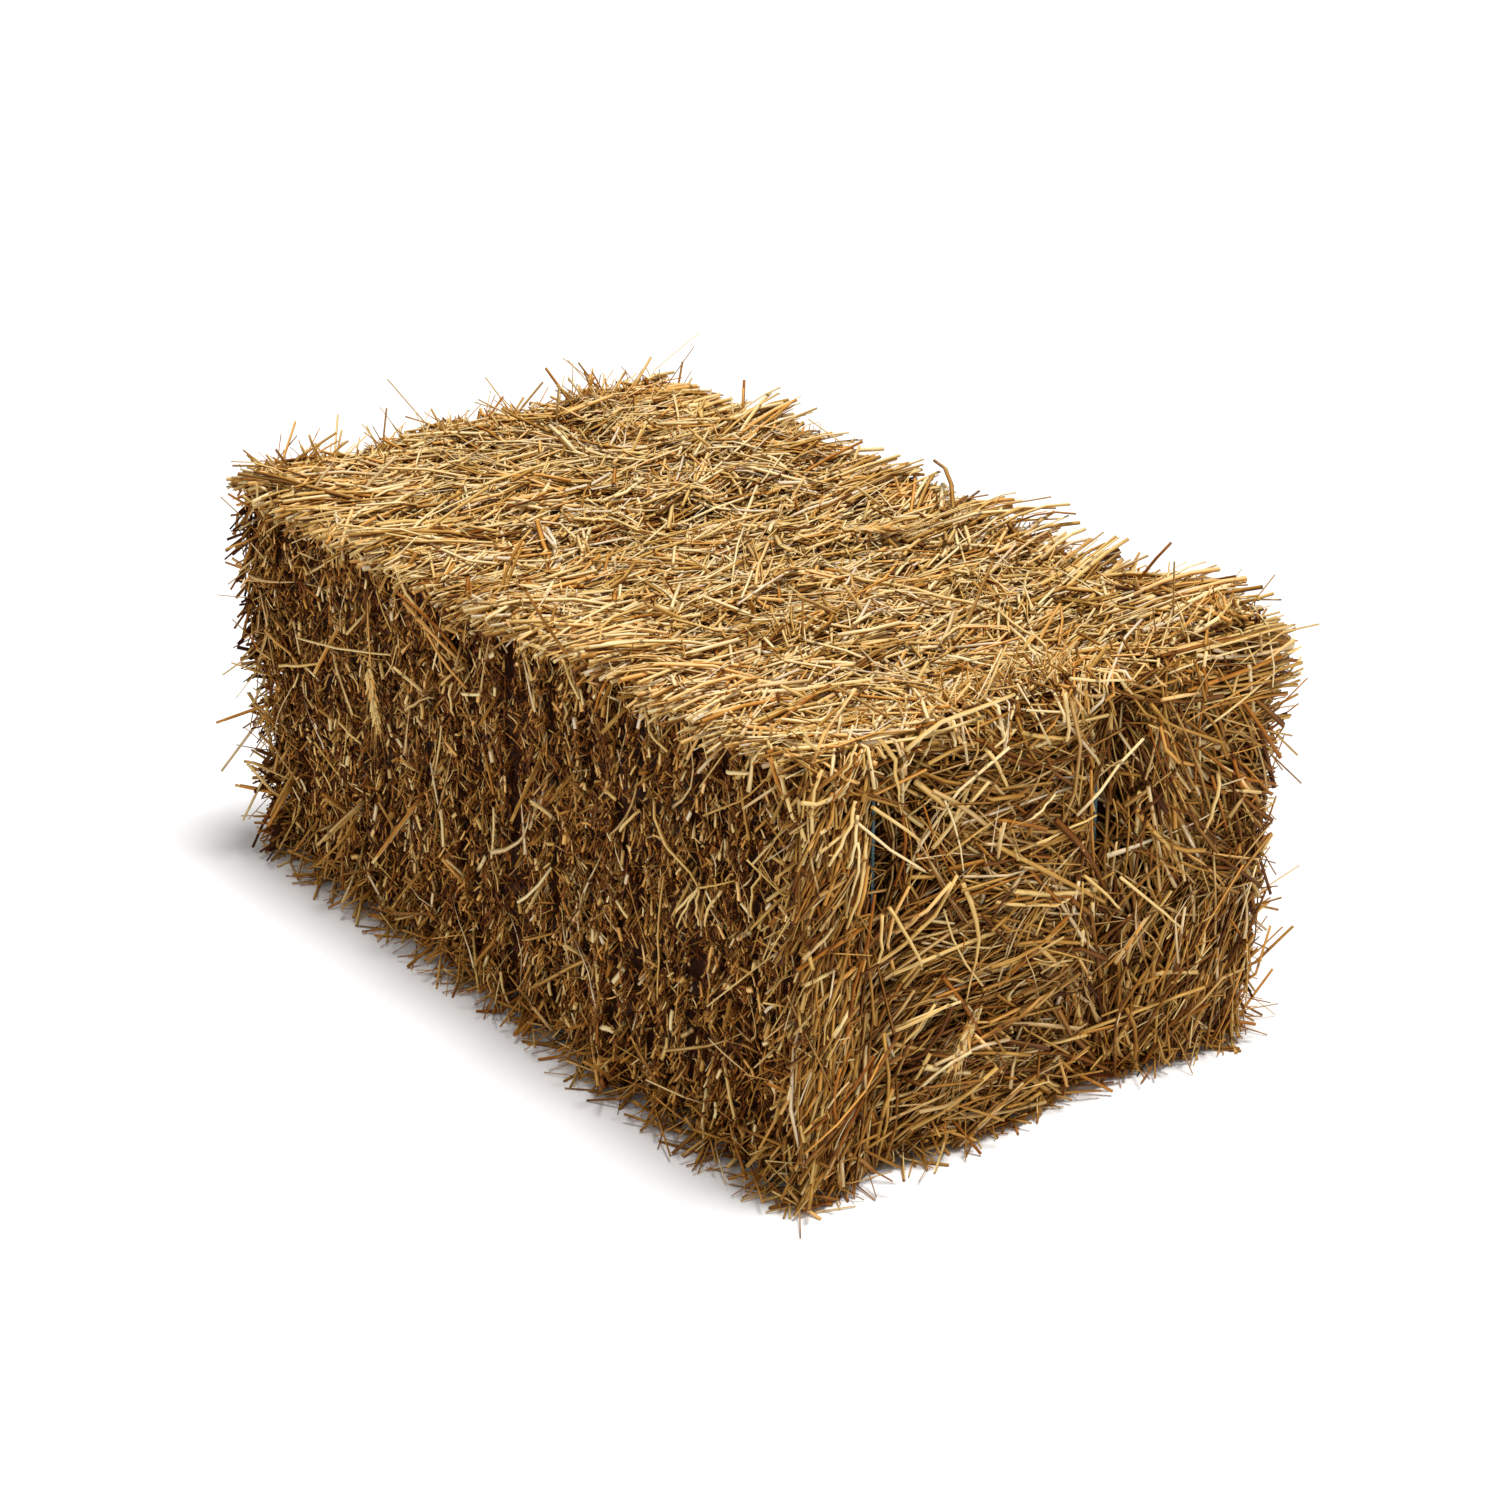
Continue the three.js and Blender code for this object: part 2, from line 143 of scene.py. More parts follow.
def section(s):
    """Points (y, z) and outward directions (y, z) at s."""
    a, sign = np.abs(s), np.sign(s)
    t1, t2, t3, t4 = TOP_HALF, TOP_HALF + ARC, TOP_HALF + ARC + SIDE, TOP_HALF + 2 * ARC + SIDE
    upper, lower = (a - t1) / EDGE, (a - t3) / EDGE
    where = [a < t1, a < t2, a < t3, a < t4]
    y = np.select(where, [a, t1 + EDGE * np.sin(upper), WIDTH / 2, t1 + EDGE * np.cos(lower)], t1 - (a - t4))
    z = np.select(where, [HEIGHT, HEIGHT - EDGE + EDGE * np.cos(upper), HEIGHT - EDGE - (a - t2),
                          EDGE - EDGE * np.sin(lower)], 0.0)
    ny = np.select(where, [0.0, np.sin(upper), 1.0, np.cos(lower)], 0.0)
    nz = np.select(where, [1.0, np.cos(upper), 0.0, -np.sin(lower)], -1.0)
    return y * sign, z, ny * sign, nz


def flake_tree():
    """All the CAD flakes as one tree for rays."""
    points, faces = [], []
    for name in FLAKES:
        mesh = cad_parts[name].data
        base = len(points)
        points.extend(v.co.copy() for v in mesh.vertices)
        faces.extend([base + i for i in p.vertices] for p in mesh.polygons)
    return BVHTree.FromPolygons(points, faces)


TREE = flake_tree()
STEP = 0.008  # of the height grids
BRIDGE = 5  # how many steps to either side a stem bridges a valley
RAY_START = 0.09


def measure(origins, directions):
    """How far each ray goes from its origin to the straw, or nothing where it misses."""
    shape = origins.shape[:-1]
    found = np.full(int(np.prod(shape)), np.nan)
    for i, (o, d) in enumerate(zip(origins.reshape(-1, 3), directions.reshape(-1, 3))):
        hit = TREE.ray_cast(Vector(o), Vector(d), 0.2)
        if hit[0] is not None:
            found[i] = hit[3]
    return found.reshape(shape)


def median(grid, reach=1):
    """The grid without the thin loose straws that a ray happens to meet."""
    padded = np.pad(grid, reach, mode="edge")
    rows, columns = grid.shape
    shifts = range(2 * reach + 1)
    stack = [padded[i:i + rows, j:j + columns] for i in shifts for j in shifts]
    return np.nanmedian(np.array(stack), axis=0)


def bridged(grid, reach):
    """The grid with its narrow valleys filled along its second axis, as straws that lie across them do."""
    size = grid.shape[1]

    def window(values, pick):
        padded = np.pad(values, ((0, 0), (reach, reach)), mode="edge")
        return pick(np.array([padded[:, i:i + size] for i in range(2 * reach + 1)]), axis=0)

    return window(window(grid, np.max), np.min)


def lookup(grid, a, b):
    """The grid's value between its points, at the fractional indices a and b."""
    a, b = np.clip(a, 0, grid.shape[0] - 1.001), np.clip(b, 0, grid.shape[1] - 1.001)
    i, j = a.astype(int), b.astype(int)
    s, t = a - i, b - j
    near = grid[i, j] * (1 - t) + grid[i, j + 1] * t
    far = grid[i + 1, j] * (1 - t) + grid[i + 1, j + 1] * t
    return near * (1 - s) + far * s


# How far the CAD straw stands out of the plain block: round the section, and on each end
ROUND_X = np.arange(-HALF_LENGTH + 0.006, HALF_LENGTH - 0.005, STEP)
ROUND_S = np.arange(-HALF_ROUND, HALF_ROUND + STEP, STEP)
END_Y = np.arange(-HALF_WIDTH + 0.012, HALF_WIDTH - 0.011, STEP)
END_Z = np.arange(0.012, HEIGHT - 0.011, STEP)


def stand(points, out, low, high):
    """How far the straw stands past the points in the direction out, between the limits low and high."""
    found = RAY_START - measure(points + MIDDLE + RAY_START * out, -out)
    return median(np.clip(np.nan_to_num(found, nan=-0.01), low, high))


def stand_round():
    x, s = np.meshgrid(ROUND_X, ROUND_S, indexing="ij")
    y, z, ny, nz = section(s)
    grid = stand(np.stack([x, y, z], axis=-1), np.stack([0 * x, ny, nz], axis=-1), -0.02, 0.045)
    return grid, bridged(grid, BRIDGE)


def stand_end(side):
    y, z = np.meshgrid(END_Y, END_Z, indexing="ij")
    out = np.stack([0 * y + side, 0 * y, 0 * y], axis=-1)
    grid = stand(np.stack([0 * y + side * HALF_LENGTH, y, z], axis=-1), out, -0.03, 0.02)
    return grid, bridged(grid.T, BRIDGE).T


# Each as it is, and with its valleys bridged
ROUND = stand_round()
ENDS = {side: stand_end(side) for side in (-1, 1)}


def height(grids, a, b, over):
    """The straw's height at the fractional indices. over, from 0 to 1, is how far a stem bridges the valleys."""
    plain, filled = (lookup(grid, a, b) for grid in grids)
    return plain * (1 - over) + filled * over


def round_place(x, s, w, over=0.0, wrap_cut=False):
    """Points on the straw at x and s, a height w above it, and their outward directions.

    Past the cut edge a stem goes straight on, unless wrap_cut.
    """
    kept = s if wrap_cut else np.maximum(s, -TOP_HALF)
    y, z, ny, nz = section(kept)
    lifted = height(ROUND, (x - ROUND_X[0]) / STEP, (kept - ROUND_S[0]) / STEP, over) + w
    beyond = kept - s
    points = np.stack([x, y + ny * lifted - beyond, z + nz * lifted - 4 * beyond ** 2], axis=-1)
    return points + MIDDLE, np.stack([0 * x, ny, nz], axis=-1)


def end_place(side, y, z, w, over=0.0):
    """The same on an end: side is 1 for the near end and -1 for the far one."""
    lifted = height(ENDS[side], (y - END_Y[0]) / STEP, (z - END_Z[0]) / STEP, over) + w
    points = np.stack([side * (HALF_LENGTH + lifted), y, z], axis=-1)
    return points + MIDDLE, np.broadcast_to([float(side), 0, 0], points.shape)


class Sheaf:
    """Collects closed tubes for stems, and makes one part for each flake from them."""

    def __init__(self):
        self.batches = []

    def add(self, points, out, radius, tone, sides=4, flat=1.0, hollow=False, taper=0.0, twist=0.0, hue=None,
            even=False, kept=None):
        """Tubes through points (n, k, 3). flat is a stem's thickness over its width, twist how far its
        section turns on the way; taper is how much thinner it gets, and a hollow stem has an open far end.
        An even stem takes only the painted lit side, all round, with no painted shade. kept says which stems are
        laid, if not all of them."""
        if kept is not None:
            points, out, radius, tone, flat = (value[kept] for value in (points, out, radius, tone, flat))
        n, k = points.shape[:2]
        past = np.maximum(points.max(axis=1) - HIGHEST, 0) + np.minimum(points.min(axis=1) - LOWEST, 0)
        points = points - past[:, None]
        radius, tone, flat, twist = (np.broadcast_to(np.asarray(value, float), (n,))
                                     for value in (radius, tone, flat, twist))
        along = unit(np.gradient(points, axis=1), 1e-12)
        across = unit(np.cross(along, out), 1e-12)
        up = np.cross(across, along)
        rolled = twist[:, None, None] * np.linspace(-0.5, 0.5, k)[:, None]
        cosine, sine = np.cos(rolled), np.sin(rolled)
        across, up = across * cosine + up * sine, up * cosine - across * sine
        turn = (2 * np.pi * np.arange(sides) / sides)[:, None]
        size = radius[:, None, None, None] * (1 - taper * np.linspace(0, 1, k))[None, :, None, None]
        ring = across[:, :, None] * np.cos(turn) + up[:, :, None] * (np.sin(turn) * flat[:, None, None, None])
        length = np.linalg.norm(np.diff(points, axis=1), axis=-1)
        run = np.concatenate([np.zeros((n, 1)), np.cumsum(length, axis=1)], axis=1) / STEM_SPAN
        start = rng.random(n) * np.maximum(0, 0.98 - run[:, -1])
        hue = rng.choice(HUES, n, p=HUE_SHARES) if hue is None else hue
        row = np.floor(np.clip(tone + rng.uniform(-0.02, 0.02, n), 0, 0.999) * TONES) * HUES + hue
        self.batches.append(dict(rings=points[:, :, None] + ring * size, u=np.clip(start[:, None] + run, 0, 0.995),
                                 row=row, hollow=hollow, even=even, along=along[:, -1], radius=radius))

    def parts(self, edges):
        """A part for each flake: every stem goes to the flake that its middle is in."""
        parts = [dict(vertices=[], loops=[], sizes=[], uv=[], smooth=[], base=0) for _ in FLAKES]
        for batch in self.batches:
            flake = np.digitize(batch["rings"].mean(axis=(1, 2))[:, 0], edges)
            for f, part in enumerate(parts):
                chosen = flake == f
                if chosen.any():
                    add_tubes(part, {key: value[chosen] if isinstance(value, np.ndarray) else value
                                     for key, value in batch.items()})
        return parts


sheaf = Sheaf()


def add_vertices(part, vertices):
    part["vertices"].append(vertices.reshape(-1, 3))
    part["base"] += vertices.size // 3


def add_faces(part, faces, uv, smooth=False):
    """Adds faces (n, corners), numbered from the part's next vertex, with their texture coordinates."""
    part["loops"].append(faces.reshape(-1) + part["base"])
    part["sizes"].append(np.full(len(faces), faces.shape[-1]))
    part["uv"].append(uv.reshape(-1, 2))
    part["smooth"].append(np.full(len(faces), smooth))


def pairs(u, v, shape):
    return np.stack([np.broadcast_to(u, shape), np.broadcast_to(v, shape)], axis=-1)


BORE, PIT_DEPTH = 0.62, 2.2  # of an open end: the hole's share of the stem, and its depth in radii


def add_tubes(part, batch):
    """Adds a batch of stems: their walls, a cap on the near end, and a cap or an open hole on the far end."""
    rings, u, row = batch["rings"], batch["u"], batch["row"][:, None]
    n, k, m, _ = rings.shape
    index = np.arange(n * k * m).reshape(n, k, m)
    turned = np.roll(index, -1, axis=2)
    quads = np.stack([index[:, :-1], turned[:, :-1], turned[:, 1:], index[:, 1:]], axis=-1).reshape(-1, 4)
    first, span = EVEN_STRIP if batch["even"] else WHOLE_STRIP
    v0 = (row[..., None] + first + span * np.arange(m) / m) / ROWS
    v1 = v0 + span / m / ROWS
    u0, u1 = u[:, :-1, None], u[:, 1:, None]
    corners = [pairs(*corner, (n, k - 1, m)) for corner in ((u0, v0), (u0, v1), (u1, v1), (u1, v0))]
    add_faces(part, quads, np.stack(corners, axis=3), smooth=True)
    middle_v = (row + 0.5) / ROWS
    cap = pairs(u[:, :1], middle_v, (n, m))
    add_faces(part, index[:, 0, ::-1], cap)
    far = index[:, -1]
    if not batch["hollow"]:
        add_faces(part, far, cap)
        add_vertices(part, rings)
        return
    centre = rings[:, -1].mean(axis=1, keepdims=True)
    inner = centre + BORE * (rings[:, -1] - centre)
    deep = centre - batch["along"][:, None] * (PIT_DEPTH * batch["radius"][:, None, None])
    inner_index = n * k * m + np.arange(n)[:, None] * (m + 1) + np.arange(m)[None]
    deep_index = np.repeat(inner_index[:, -1:] + 1, m, 1)
    inner_turned, far_turned = np.roll(inner_index, -1, axis=1), np.roll(far, -1, axis=1)
    rim = np.stack([far, far_turned, inner_turned, inner_index], axis=-1).reshape(-1, 4)
    pit = np.stack([inner_index, inner_turned, deep_index], axis=-1).reshape(-1, 3)
    add_faces(part, rim, pairs(0.004, middle_v[..., None], (n, m, 4)))
    # The pit inside an open end is painted in the darkest row, as painted shade inside the hollow stem
    add_faces(part, pit, pairs(0.5, PIT_SHADE_ROW, (n, m, 3)))
    add_vertices(part, rings)
    add_vertices(part, np.concatenate([inner, deep], axis=1))


def link_new(name, data):
    """A new object of the scene."""
    made = bpy.data.objects.new(name, data)
    bpy.context.scene.collection.objects.link(made)
    return made


def make_mesh(name, part, material):
    vertices, loops, sizes, uv, smooth = (np.concatenate(part[key])
                                          for key in ("vertices", "loops", "sizes", "uv", "smooth"))
    vertices = vertices.astype(np.float32)
    vertices[:, 2] = np.maximum(vertices[:, 2], LEAST_Z)
    mesh = bpy.data.meshes.new(name)
    mesh.vertices.add(len(vertices))
    mesh.vertices.foreach_set("co", vertices.ravel())
    mesh.loops.add(len(loops))
    mesh.loops.foreach_set("vertex_index", loops.astype(np.int32))
    mesh.polygons.add(len(sizes))
    mesh.polygons.foreach_set("loop_start", np.concatenate([[0], np.cumsum(sizes)[:-1]]).astype(np.int32))
    mesh.update(calc_edges=True)
    mesh.polygons.foreach_set("use_smooth", smooth)
    mesh.uv_layers.new(name="OFBake").data.foreach_set("uv", uv.astype(np.float32).ravel())
    mesh.materials.append(material)
    mesh.validate(clean_customdata=False)
    return link_new(name, mesh)


def wander(x, y, scale, seed):
    """Smooth noise from -1 to 1."""
    local = np.random.default_rng(seed)
    total = np.zeros_like(x)
    for octave in range(4):
        angle, phase = local.random(2) * 2 * np.pi
        turn = (x * math.cos(angle) + y * math.sin(angle)) / scale * (1 + 0.6 * octave)
        total += np.sin(2 * np.pi * turn + phase)
    return total / 2.2


def bowed(n, k, amount):
    """How far each of a stem's k points is off its straight line: a bow, and sometimes a kink."""
    t = np.linspace(-1, 1, k)
    bow = (1 - t ** 2)[None] * rng.normal(0, 1, (n, 1)) * amount[:, None]
    kink = rng.uniform(-0.6, 0.6, (n, 1))
    kinked = (rng.random((n, 1)) < 0.3) * rng.normal(0, 1.5, (n, 1)) * np.abs(t[None] - kink) * amount[:, None]
    return bow + kinked


def stem_radius(n, thick=1.0):
    stout = np.clip(rng.normal(0.00158, 0.00036, n), 0.0010, 0.0028)
    fine = rng.uniform(0.0005, 0.0010, n)
    return thick * np.where(rng.random(n) < 0.40, fine, stout)


def laid(a, b, angle, length, k, bend):
    """k points along lines with their middles at a and b, turned from b towards a, and their places t along."""
    t = np.linspace(-0.5, 0.5, k)[None] * length[:, None]
    bow = bowed(len(a), k, bend * length)
    sine, cosine = np.sin(angle)[:, None], np.cos(angle)[:, None]
    return a[:, None] + t * sine + bow * cosine, b[:, None] + t * cosine - bow * sine, t


def flattened(n, share=0.3, flat=0.4):
    """Thickness over width: a share of the stems is crushed flat."""
    return np.where(rng.random(n) < share, flat, 0.9)


def along_bale(n, inset=0.01):
    return rng.uniform(-HALF_LENGTH + inset, HALF_LENGTH - inset, n)


def bundled(n, a_range, b_range, share, spread, size=14):
    """n places in the two ranges and a turn for each: a share of them in bundles of like turn."""
    count = max(1, int(n * share / size))
    bundle = rng.integers(0, count, n)
    a = rng.uniform(*a_range, count)[bundle] + rng.normal(0, 0.013, n)
    b = rng.uniform(*b_range, count)[bundle] + rng.normal(0, 0.013, n)
    turn = rng.normal(0, 1, count)[bundle] * spread + rng.normal(0, 0.10, n)
    lift = rng.uniform(-0.5, 0.5, count)[bundle]
    alone = rng.random(n) > share
    a = np.where(alone, rng.uniform(*a_range, n), np.clip(a, *a_range))
    b = np.where(alone, rng.uniform(*b_range, n), np.clip(b, *b_range))
    turn = np.where(alone, rng.normal(0, spread, n), turn)
    return a, b, turn, np.where(alone, 0, lift)


INSET = 0.004  # of the stems' middles from the block's edges
PAST_EDGE = (-0.004, 0.016)  # how far past an edge a stem may reach
MOST_LIFT = 0.012  # of a stem over its layer
CRUSHED, WIDER = (0.25, 0.45), 1.25  # the share and the thickness of crushed stems, and their extra width
TONE_LIMITS = (0.02, 0.9)


def round_stems(n, s_range, spread, lengths, depth, tone, turn=0.0, k=4, over=0.7, sides=4, lively=0.07,
                thick=1.0):
    """Stems laid on the round of the bale. turn is their angle from straight across, spread its scatter, and
    lively how much they tilt."""
    x, s, scatter, lift = bundled(n, (-HALF_LENGTH + INSET, HALF_LENGTH - INSET), s_range, 0.55, spread)
    angle = turn + 0.45 * wander(x, s, 0.13, 5) + scatter
    sx, ss, t = laid(x, s, angle, mix(*lengths, rng.beta(1.4, 2.4, n)), k, 0.035)
    limit = -TOP_HALF - 0.004 - rng.uniform(-0.004, 0.012, n)
    ss += np.maximum(0, limit - ss.min(axis=1))[:, None]
    past = np.abs(sx).max(axis=1) - HALF_LENGTH - rng.uniform(*PAST_EDGE, n)
    sx -= (np.sign(x) * np.maximum(0, past))[:, None]
    tilt = rng.normal(0, lively, (n, 1)) * t
    heap = 0.004 * wander(x, s, 0.06, 31) + 0.006 * lift
    w = np.minimum((rng.uniform(*depth, n) + heap)[:, None] + tilt, depth[1] + MOST_LIFT)
    points, out = round_place(sx, ss, w, over * rng.random((n, 1)) ** 0.4)
    flat = flattened(n, *CRUSHED)
    patch = 0.06 * wander(x, s, 0.07, 52) + 0.05 * wander(x, s, 0.17, 77)
    # Painted light and shade: stems heaped higher are painted lighter, and those lying lower darker
    tones = np.clip(tone(n) + patch - 12 * np.minimum(heap, 0.003), *TONE_LIMITS)
    sheaf.add(points, out, stem_radius(n, thick) * np.where(flat < 0.5, WIDER, 1), tones, sides=sides, flat=flat)


# The lie of the straw across the near end: y, and degrees up from +Y
NEAR_END_LIE = ([-0.22, -0.155, -0.12, -0.05, 0.02, 0.06, 0.10, 0.14, 0.22],
                [58, 64, 14, -12, -18, -78, -88, -56, -48])
# Where a twine shows between the stems of an end: side, twine, lowest and highest z
WINDOWS = [(1, "twine_cut_side", 0.222, 0.316), (1, "twine_folded_side", 0.215, 0.275),
           (-1, "twine_cut_side", 0.12, 0.19), (-1, "twine_folded_side", 0.16, 0.26)]
WINDOW_MIDDLE, WINDOW_HALF = -0.0045, 0.0075  # from the twine, to its cut side, where the camera looks in
UNDER_TWINE = 0.010  # how much deeper the stems lie that cross a window


def bite_y(name, side):
    """Where a twine bites an end."""
    return TWINES[name]["near" if side > 0 else "far"]


def clear_of_windows(side, ys, zs):
    """Which stems don't cross a window: all of their parts, not only their points, are looked at."""
    clear = np.ones(len(ys), bool)
    for t in np.linspace(0, 1, 7):
        y = ys[:, :-1] * (1 - t) + ys[:, 1:] * t
        z = zs[:, :-1] * (1 - t) + zs[:, 1:] * t
        for window_side, name, low, high in WINDOWS:
            if window_side == side:
                inside = (np.abs(y - bite_y(name, side) - WINDOW_MIDDLE) < WINDOW_HALF) & (z > low) & (z < high)
                clear &= ~inside.any(axis=1)
    return clear


def end_stems(side, n, lengths, depth, tone, over=0.7, spread=0.35, sides=4):
    """Stems laid on an end of the bale, fanned out of the places where the twines bite the top edge."""
    y, z, scatter, lift = bundled(n, (-HALF_WIDTH + INSET, HALF_WIDTH - INSET), (0.006, HEIGHT - 0.003),
                                  0.65, spread)
    lie = np.interp(y, *NEAR_END_LIE) if side > 0 else 11 + 60 * wander(y, z, 0.30, 10)
    angle = np.radians(lie + np.where((y > 0.11) & (z < 0.17), 110, 0)) + 0.35 * wander(y, z, 0.09, 12) + scatter
    bites = [bite_y(name, side) for name in TWINES]
    weight, fan = np.zeros(n), np.zeros(n)
    for bite in bites:
        pull = np.exp(-(((y - bite) / 0.06) ** 2 + ((HEIGHT - z) / 0.10) ** 2))
        fan = np.where(pull > weight, np.arctan2(HEIGHT - 0.01 - z, bite - y), fan)
        weight = np.maximum(weight, pull)
    angle = np.where(rng.random(n) < weight, fan + rng.normal(0, 0.12, n), angle)
    zs, ys, t = laid(z, y, angle, mix(*lengths, rng.beta(1.4, 2.2, n)), 4, 0.065)
    reach = rng.uniform(*PAST_EDGE, n)
    ys -= np.maximum(0, ys.max(axis=1) - HALF_WIDTH - reach)[:, None]
    ys += np.maximum(0, -HALF_WIDTH - reach - ys.min(axis=1))[:, None]
    zs -= np.maximum(0, zs.max(axis=1) - HEIGHT - 0.5 * reach)[:, None]
    zs += np.maximum(0, 0.004 - zs.min(axis=1))[:, None]
    heap = 0.003 * wander(y, z, 0.05, 17) + 0.005 * lift
    w = (rng.uniform(*depth, n) + heap)[:, None] + rng.normal(0, 0.08, (n, 1)) * t
    clear = clear_of_windows(side, ys, zs)
    w = np.minimum(w, depth[1] + MOST_LIFT) - UNDER_TWINE * ~clear[:, None]
    points, out = end_place(side, ys, zs, w, over * rng.random((n, 1)) ** 0.4 * clear[:, None])
    flat = flattened(n, *CRUSHED)
    # Painted shade: stems near the twines' bites, stems lying lower, and the half of each end towards +y on the
    # near end and -y on the far end are painted darker; stems heaped higher are painted lighter
    near_twine = np.max([np.exp(-((y - bite) / 0.018) ** 2) for bite in bites], axis=0)
    painted_side_shade = 0.05 * np.clip(side * y / 0.1, 0, 1)
    tones = tone(n) + painted_side_shade + 0.08 * near_twine + 0.07 * wander(y, z, 0.07, 53) - 12 * heap
    radius = stem_radius(n) * np.where(flat < 0.5, WIDER, 1)
    kept = clear | (rng.random(n) < 0.02) | (depth[1] < 0.002)
    sheaf.add(points, out, radius, np.clip(tones, *TONE_LIMITS), sides=sides, flat=flat, kept=kept,
              hue=rng.choice(HUES, kept.sum(), p=END_HUE_SHARES))


CUT_ROWS = np.cumsum(rng.uniform(0.013, 0.024, 60))
CUT_ROWS = CUT_ROWS[CUT_ROWS < LENGTH - 0.006] - HALF_LENGTH
CUT_ROW_TONES = rng.normal(0, 0.06, len(CUT_ROWS))
ROW_HALF = 0.010


def in_cut_rows(n, spread):
    """Places on the cut side in upright rows: x, z, how far from the row's middle, and the row's tone with painted
    shade, darker towards the gaps between the rows.
    """
    row = rng.integers(0, len(CUT_ROWS), n)
    z = rng.uniform(0.004, HEIGHT - 0.003, n)
    wobble = 0.003 * wander(z + 0.37 * row, z * 0, 0.11, 44)
    off = np.clip(rng.normal(0, spread, n), -ROW_HALF, ROW_HALF)
    x = np.clip(CUT_ROWS[row] + wobble + off, -HALF_LENGTH + 0.002, HALF_LENGTH - 0.002)
    # The row's own tone, painted darker away from its middle as shade in the gaps between the rows
    return x, z, off, CUT_ROW_TONES[row] + 0.26 * (off / ROW_HALF) ** 2


UP = np.array([0, 0, 1.0])


def cut_place(x, z, w):
    points, out = round_place(x, -side_run(z), w, wrap_cut=True)
    points[..., 2] = np.maximum(points[..., 2], 0.002)
    return points, out


def cut_slivers(n):
    """Flattened ends that the knife and the press left: short, upright and close together, some of them chips."""
    x, z, off, row_tone_and_gap_shade = in_cut_rows(n, 0.0050)
    length = rng.uniform(0.004, 0.016, n)
    chip = rng.random(n) < 0.16
    angle = rng.normal(0, 0.22, n) * np.where(chip, 3.2, 1)
    t = np.array([-0.5, 0.5])[None] * length[:, None]
    sx = x[:, None] + t * np.sin(angle)[:, None]
    sz = np.clip(z[:, None] + t * np.cos(angle)[:, None], 0.002, HEIGHT - 0.002)
    middle = rng.uniform(-0.010, 0.001, n) - 1.1 * np.abs(off)
    points, out = cut_place(sx, sz, np.minimum(middle[:, None] + t * rng.normal(0, 0.5, (n, 1)), 0.005))
    tones = np.clip(sliver_tone(n) + row_tone_and_gap_shade, *TONE_LIMITS)
    radius = rng.uniform(0.0006, 0.0016, n) * np.where(chip, 1.7, 1)
    flat = np.where(chip, 0.2, rng.uniform(0.35, 0.9, n))
    sheaf.add(points, out, radius, tones, sides=3, flat=flat, taper=0.3,
              twist=np.where(chip, rng.normal(0, 1, n), 0), hue=rng.choice(HUES, n, p=CUT_HUE_SHARES))


def cut_stubs(n, deep=0.014):
    """The stems that the knife cut off on the cut side: short, tilted, and open at the end."""
    x, z, off, row_tone_and_gap_shade = in_cut_rows(n, 0.0045)
    lean = rng.normal(0, 0.30, (n, 2)) + np.stack([0.2 * wander(x, z, 0.05, 3), 0.5 * wander(x, z, 0.09, 8)], -1)
    lean[:, 0] += 50 * off
    proud = rng.uniform(-0.010, 0.000, n) + rng.exponential(0.0016, n) - 0.8 * np.abs(off)
    t = np.array([[0.0, 1.0]])
    reach = (deep + proud)[:, None]
    sx = x[:, None] + lean[:, :1] * (t - 0.8) * reach
    sz = z[:, None] + lean[:, 1:] * (t - 0.8) * reach
    points, _ = cut_place(sx, np.clip(sz, 0.002, HEIGHT - 0.001), -deep + t * reach)
    tones = np.clip(cut_tone(n) + row_tone_and_gap_shade, *TONE_LIMITS)
    sheaf.add(points, UP, 0.72 * stem_radius(n), tones, flat=rng.uniform(0.5, 1, n), hollow=True,
              hue=rng.choice(HUES, n, p=CUT_HUE_SHARES))


def cut_side_litter(n, lengths, depth, thick=0.9, flat_share=0.35):
    """Broken stems that lie over the cut ends."""
    x = along_bale(n)
    z = rng.uniform(0.02, HEIGHT - 0.01, n)
    angle = rng.normal(0, 0.55, n) + 0.5 * wander(x, z, 0.2, 21)
    sx, sz, t = laid(x, z, angle, mix(*lengths, rng.beta(1.2, 3, n)), 4, 0.035)
    sx, sz = np.clip(sx, -HALF_LENGTH - 0.01, HALF_LENGTH + 0.01), np.clip(sz, 0.004, HEIGHT + 0.004)
    w = rng.uniform(*depth, n)[:, None] + rng.normal(0, 0.09, (n, 1)) * t
    points, out = round_place(sx, -side_run(sz), w, 0.2, wrap_cut=True)
    sheaf.add(points, out, stem_radius(n, thick), litter_tone(n), flat=flattened(n, flat_share, 0.3))


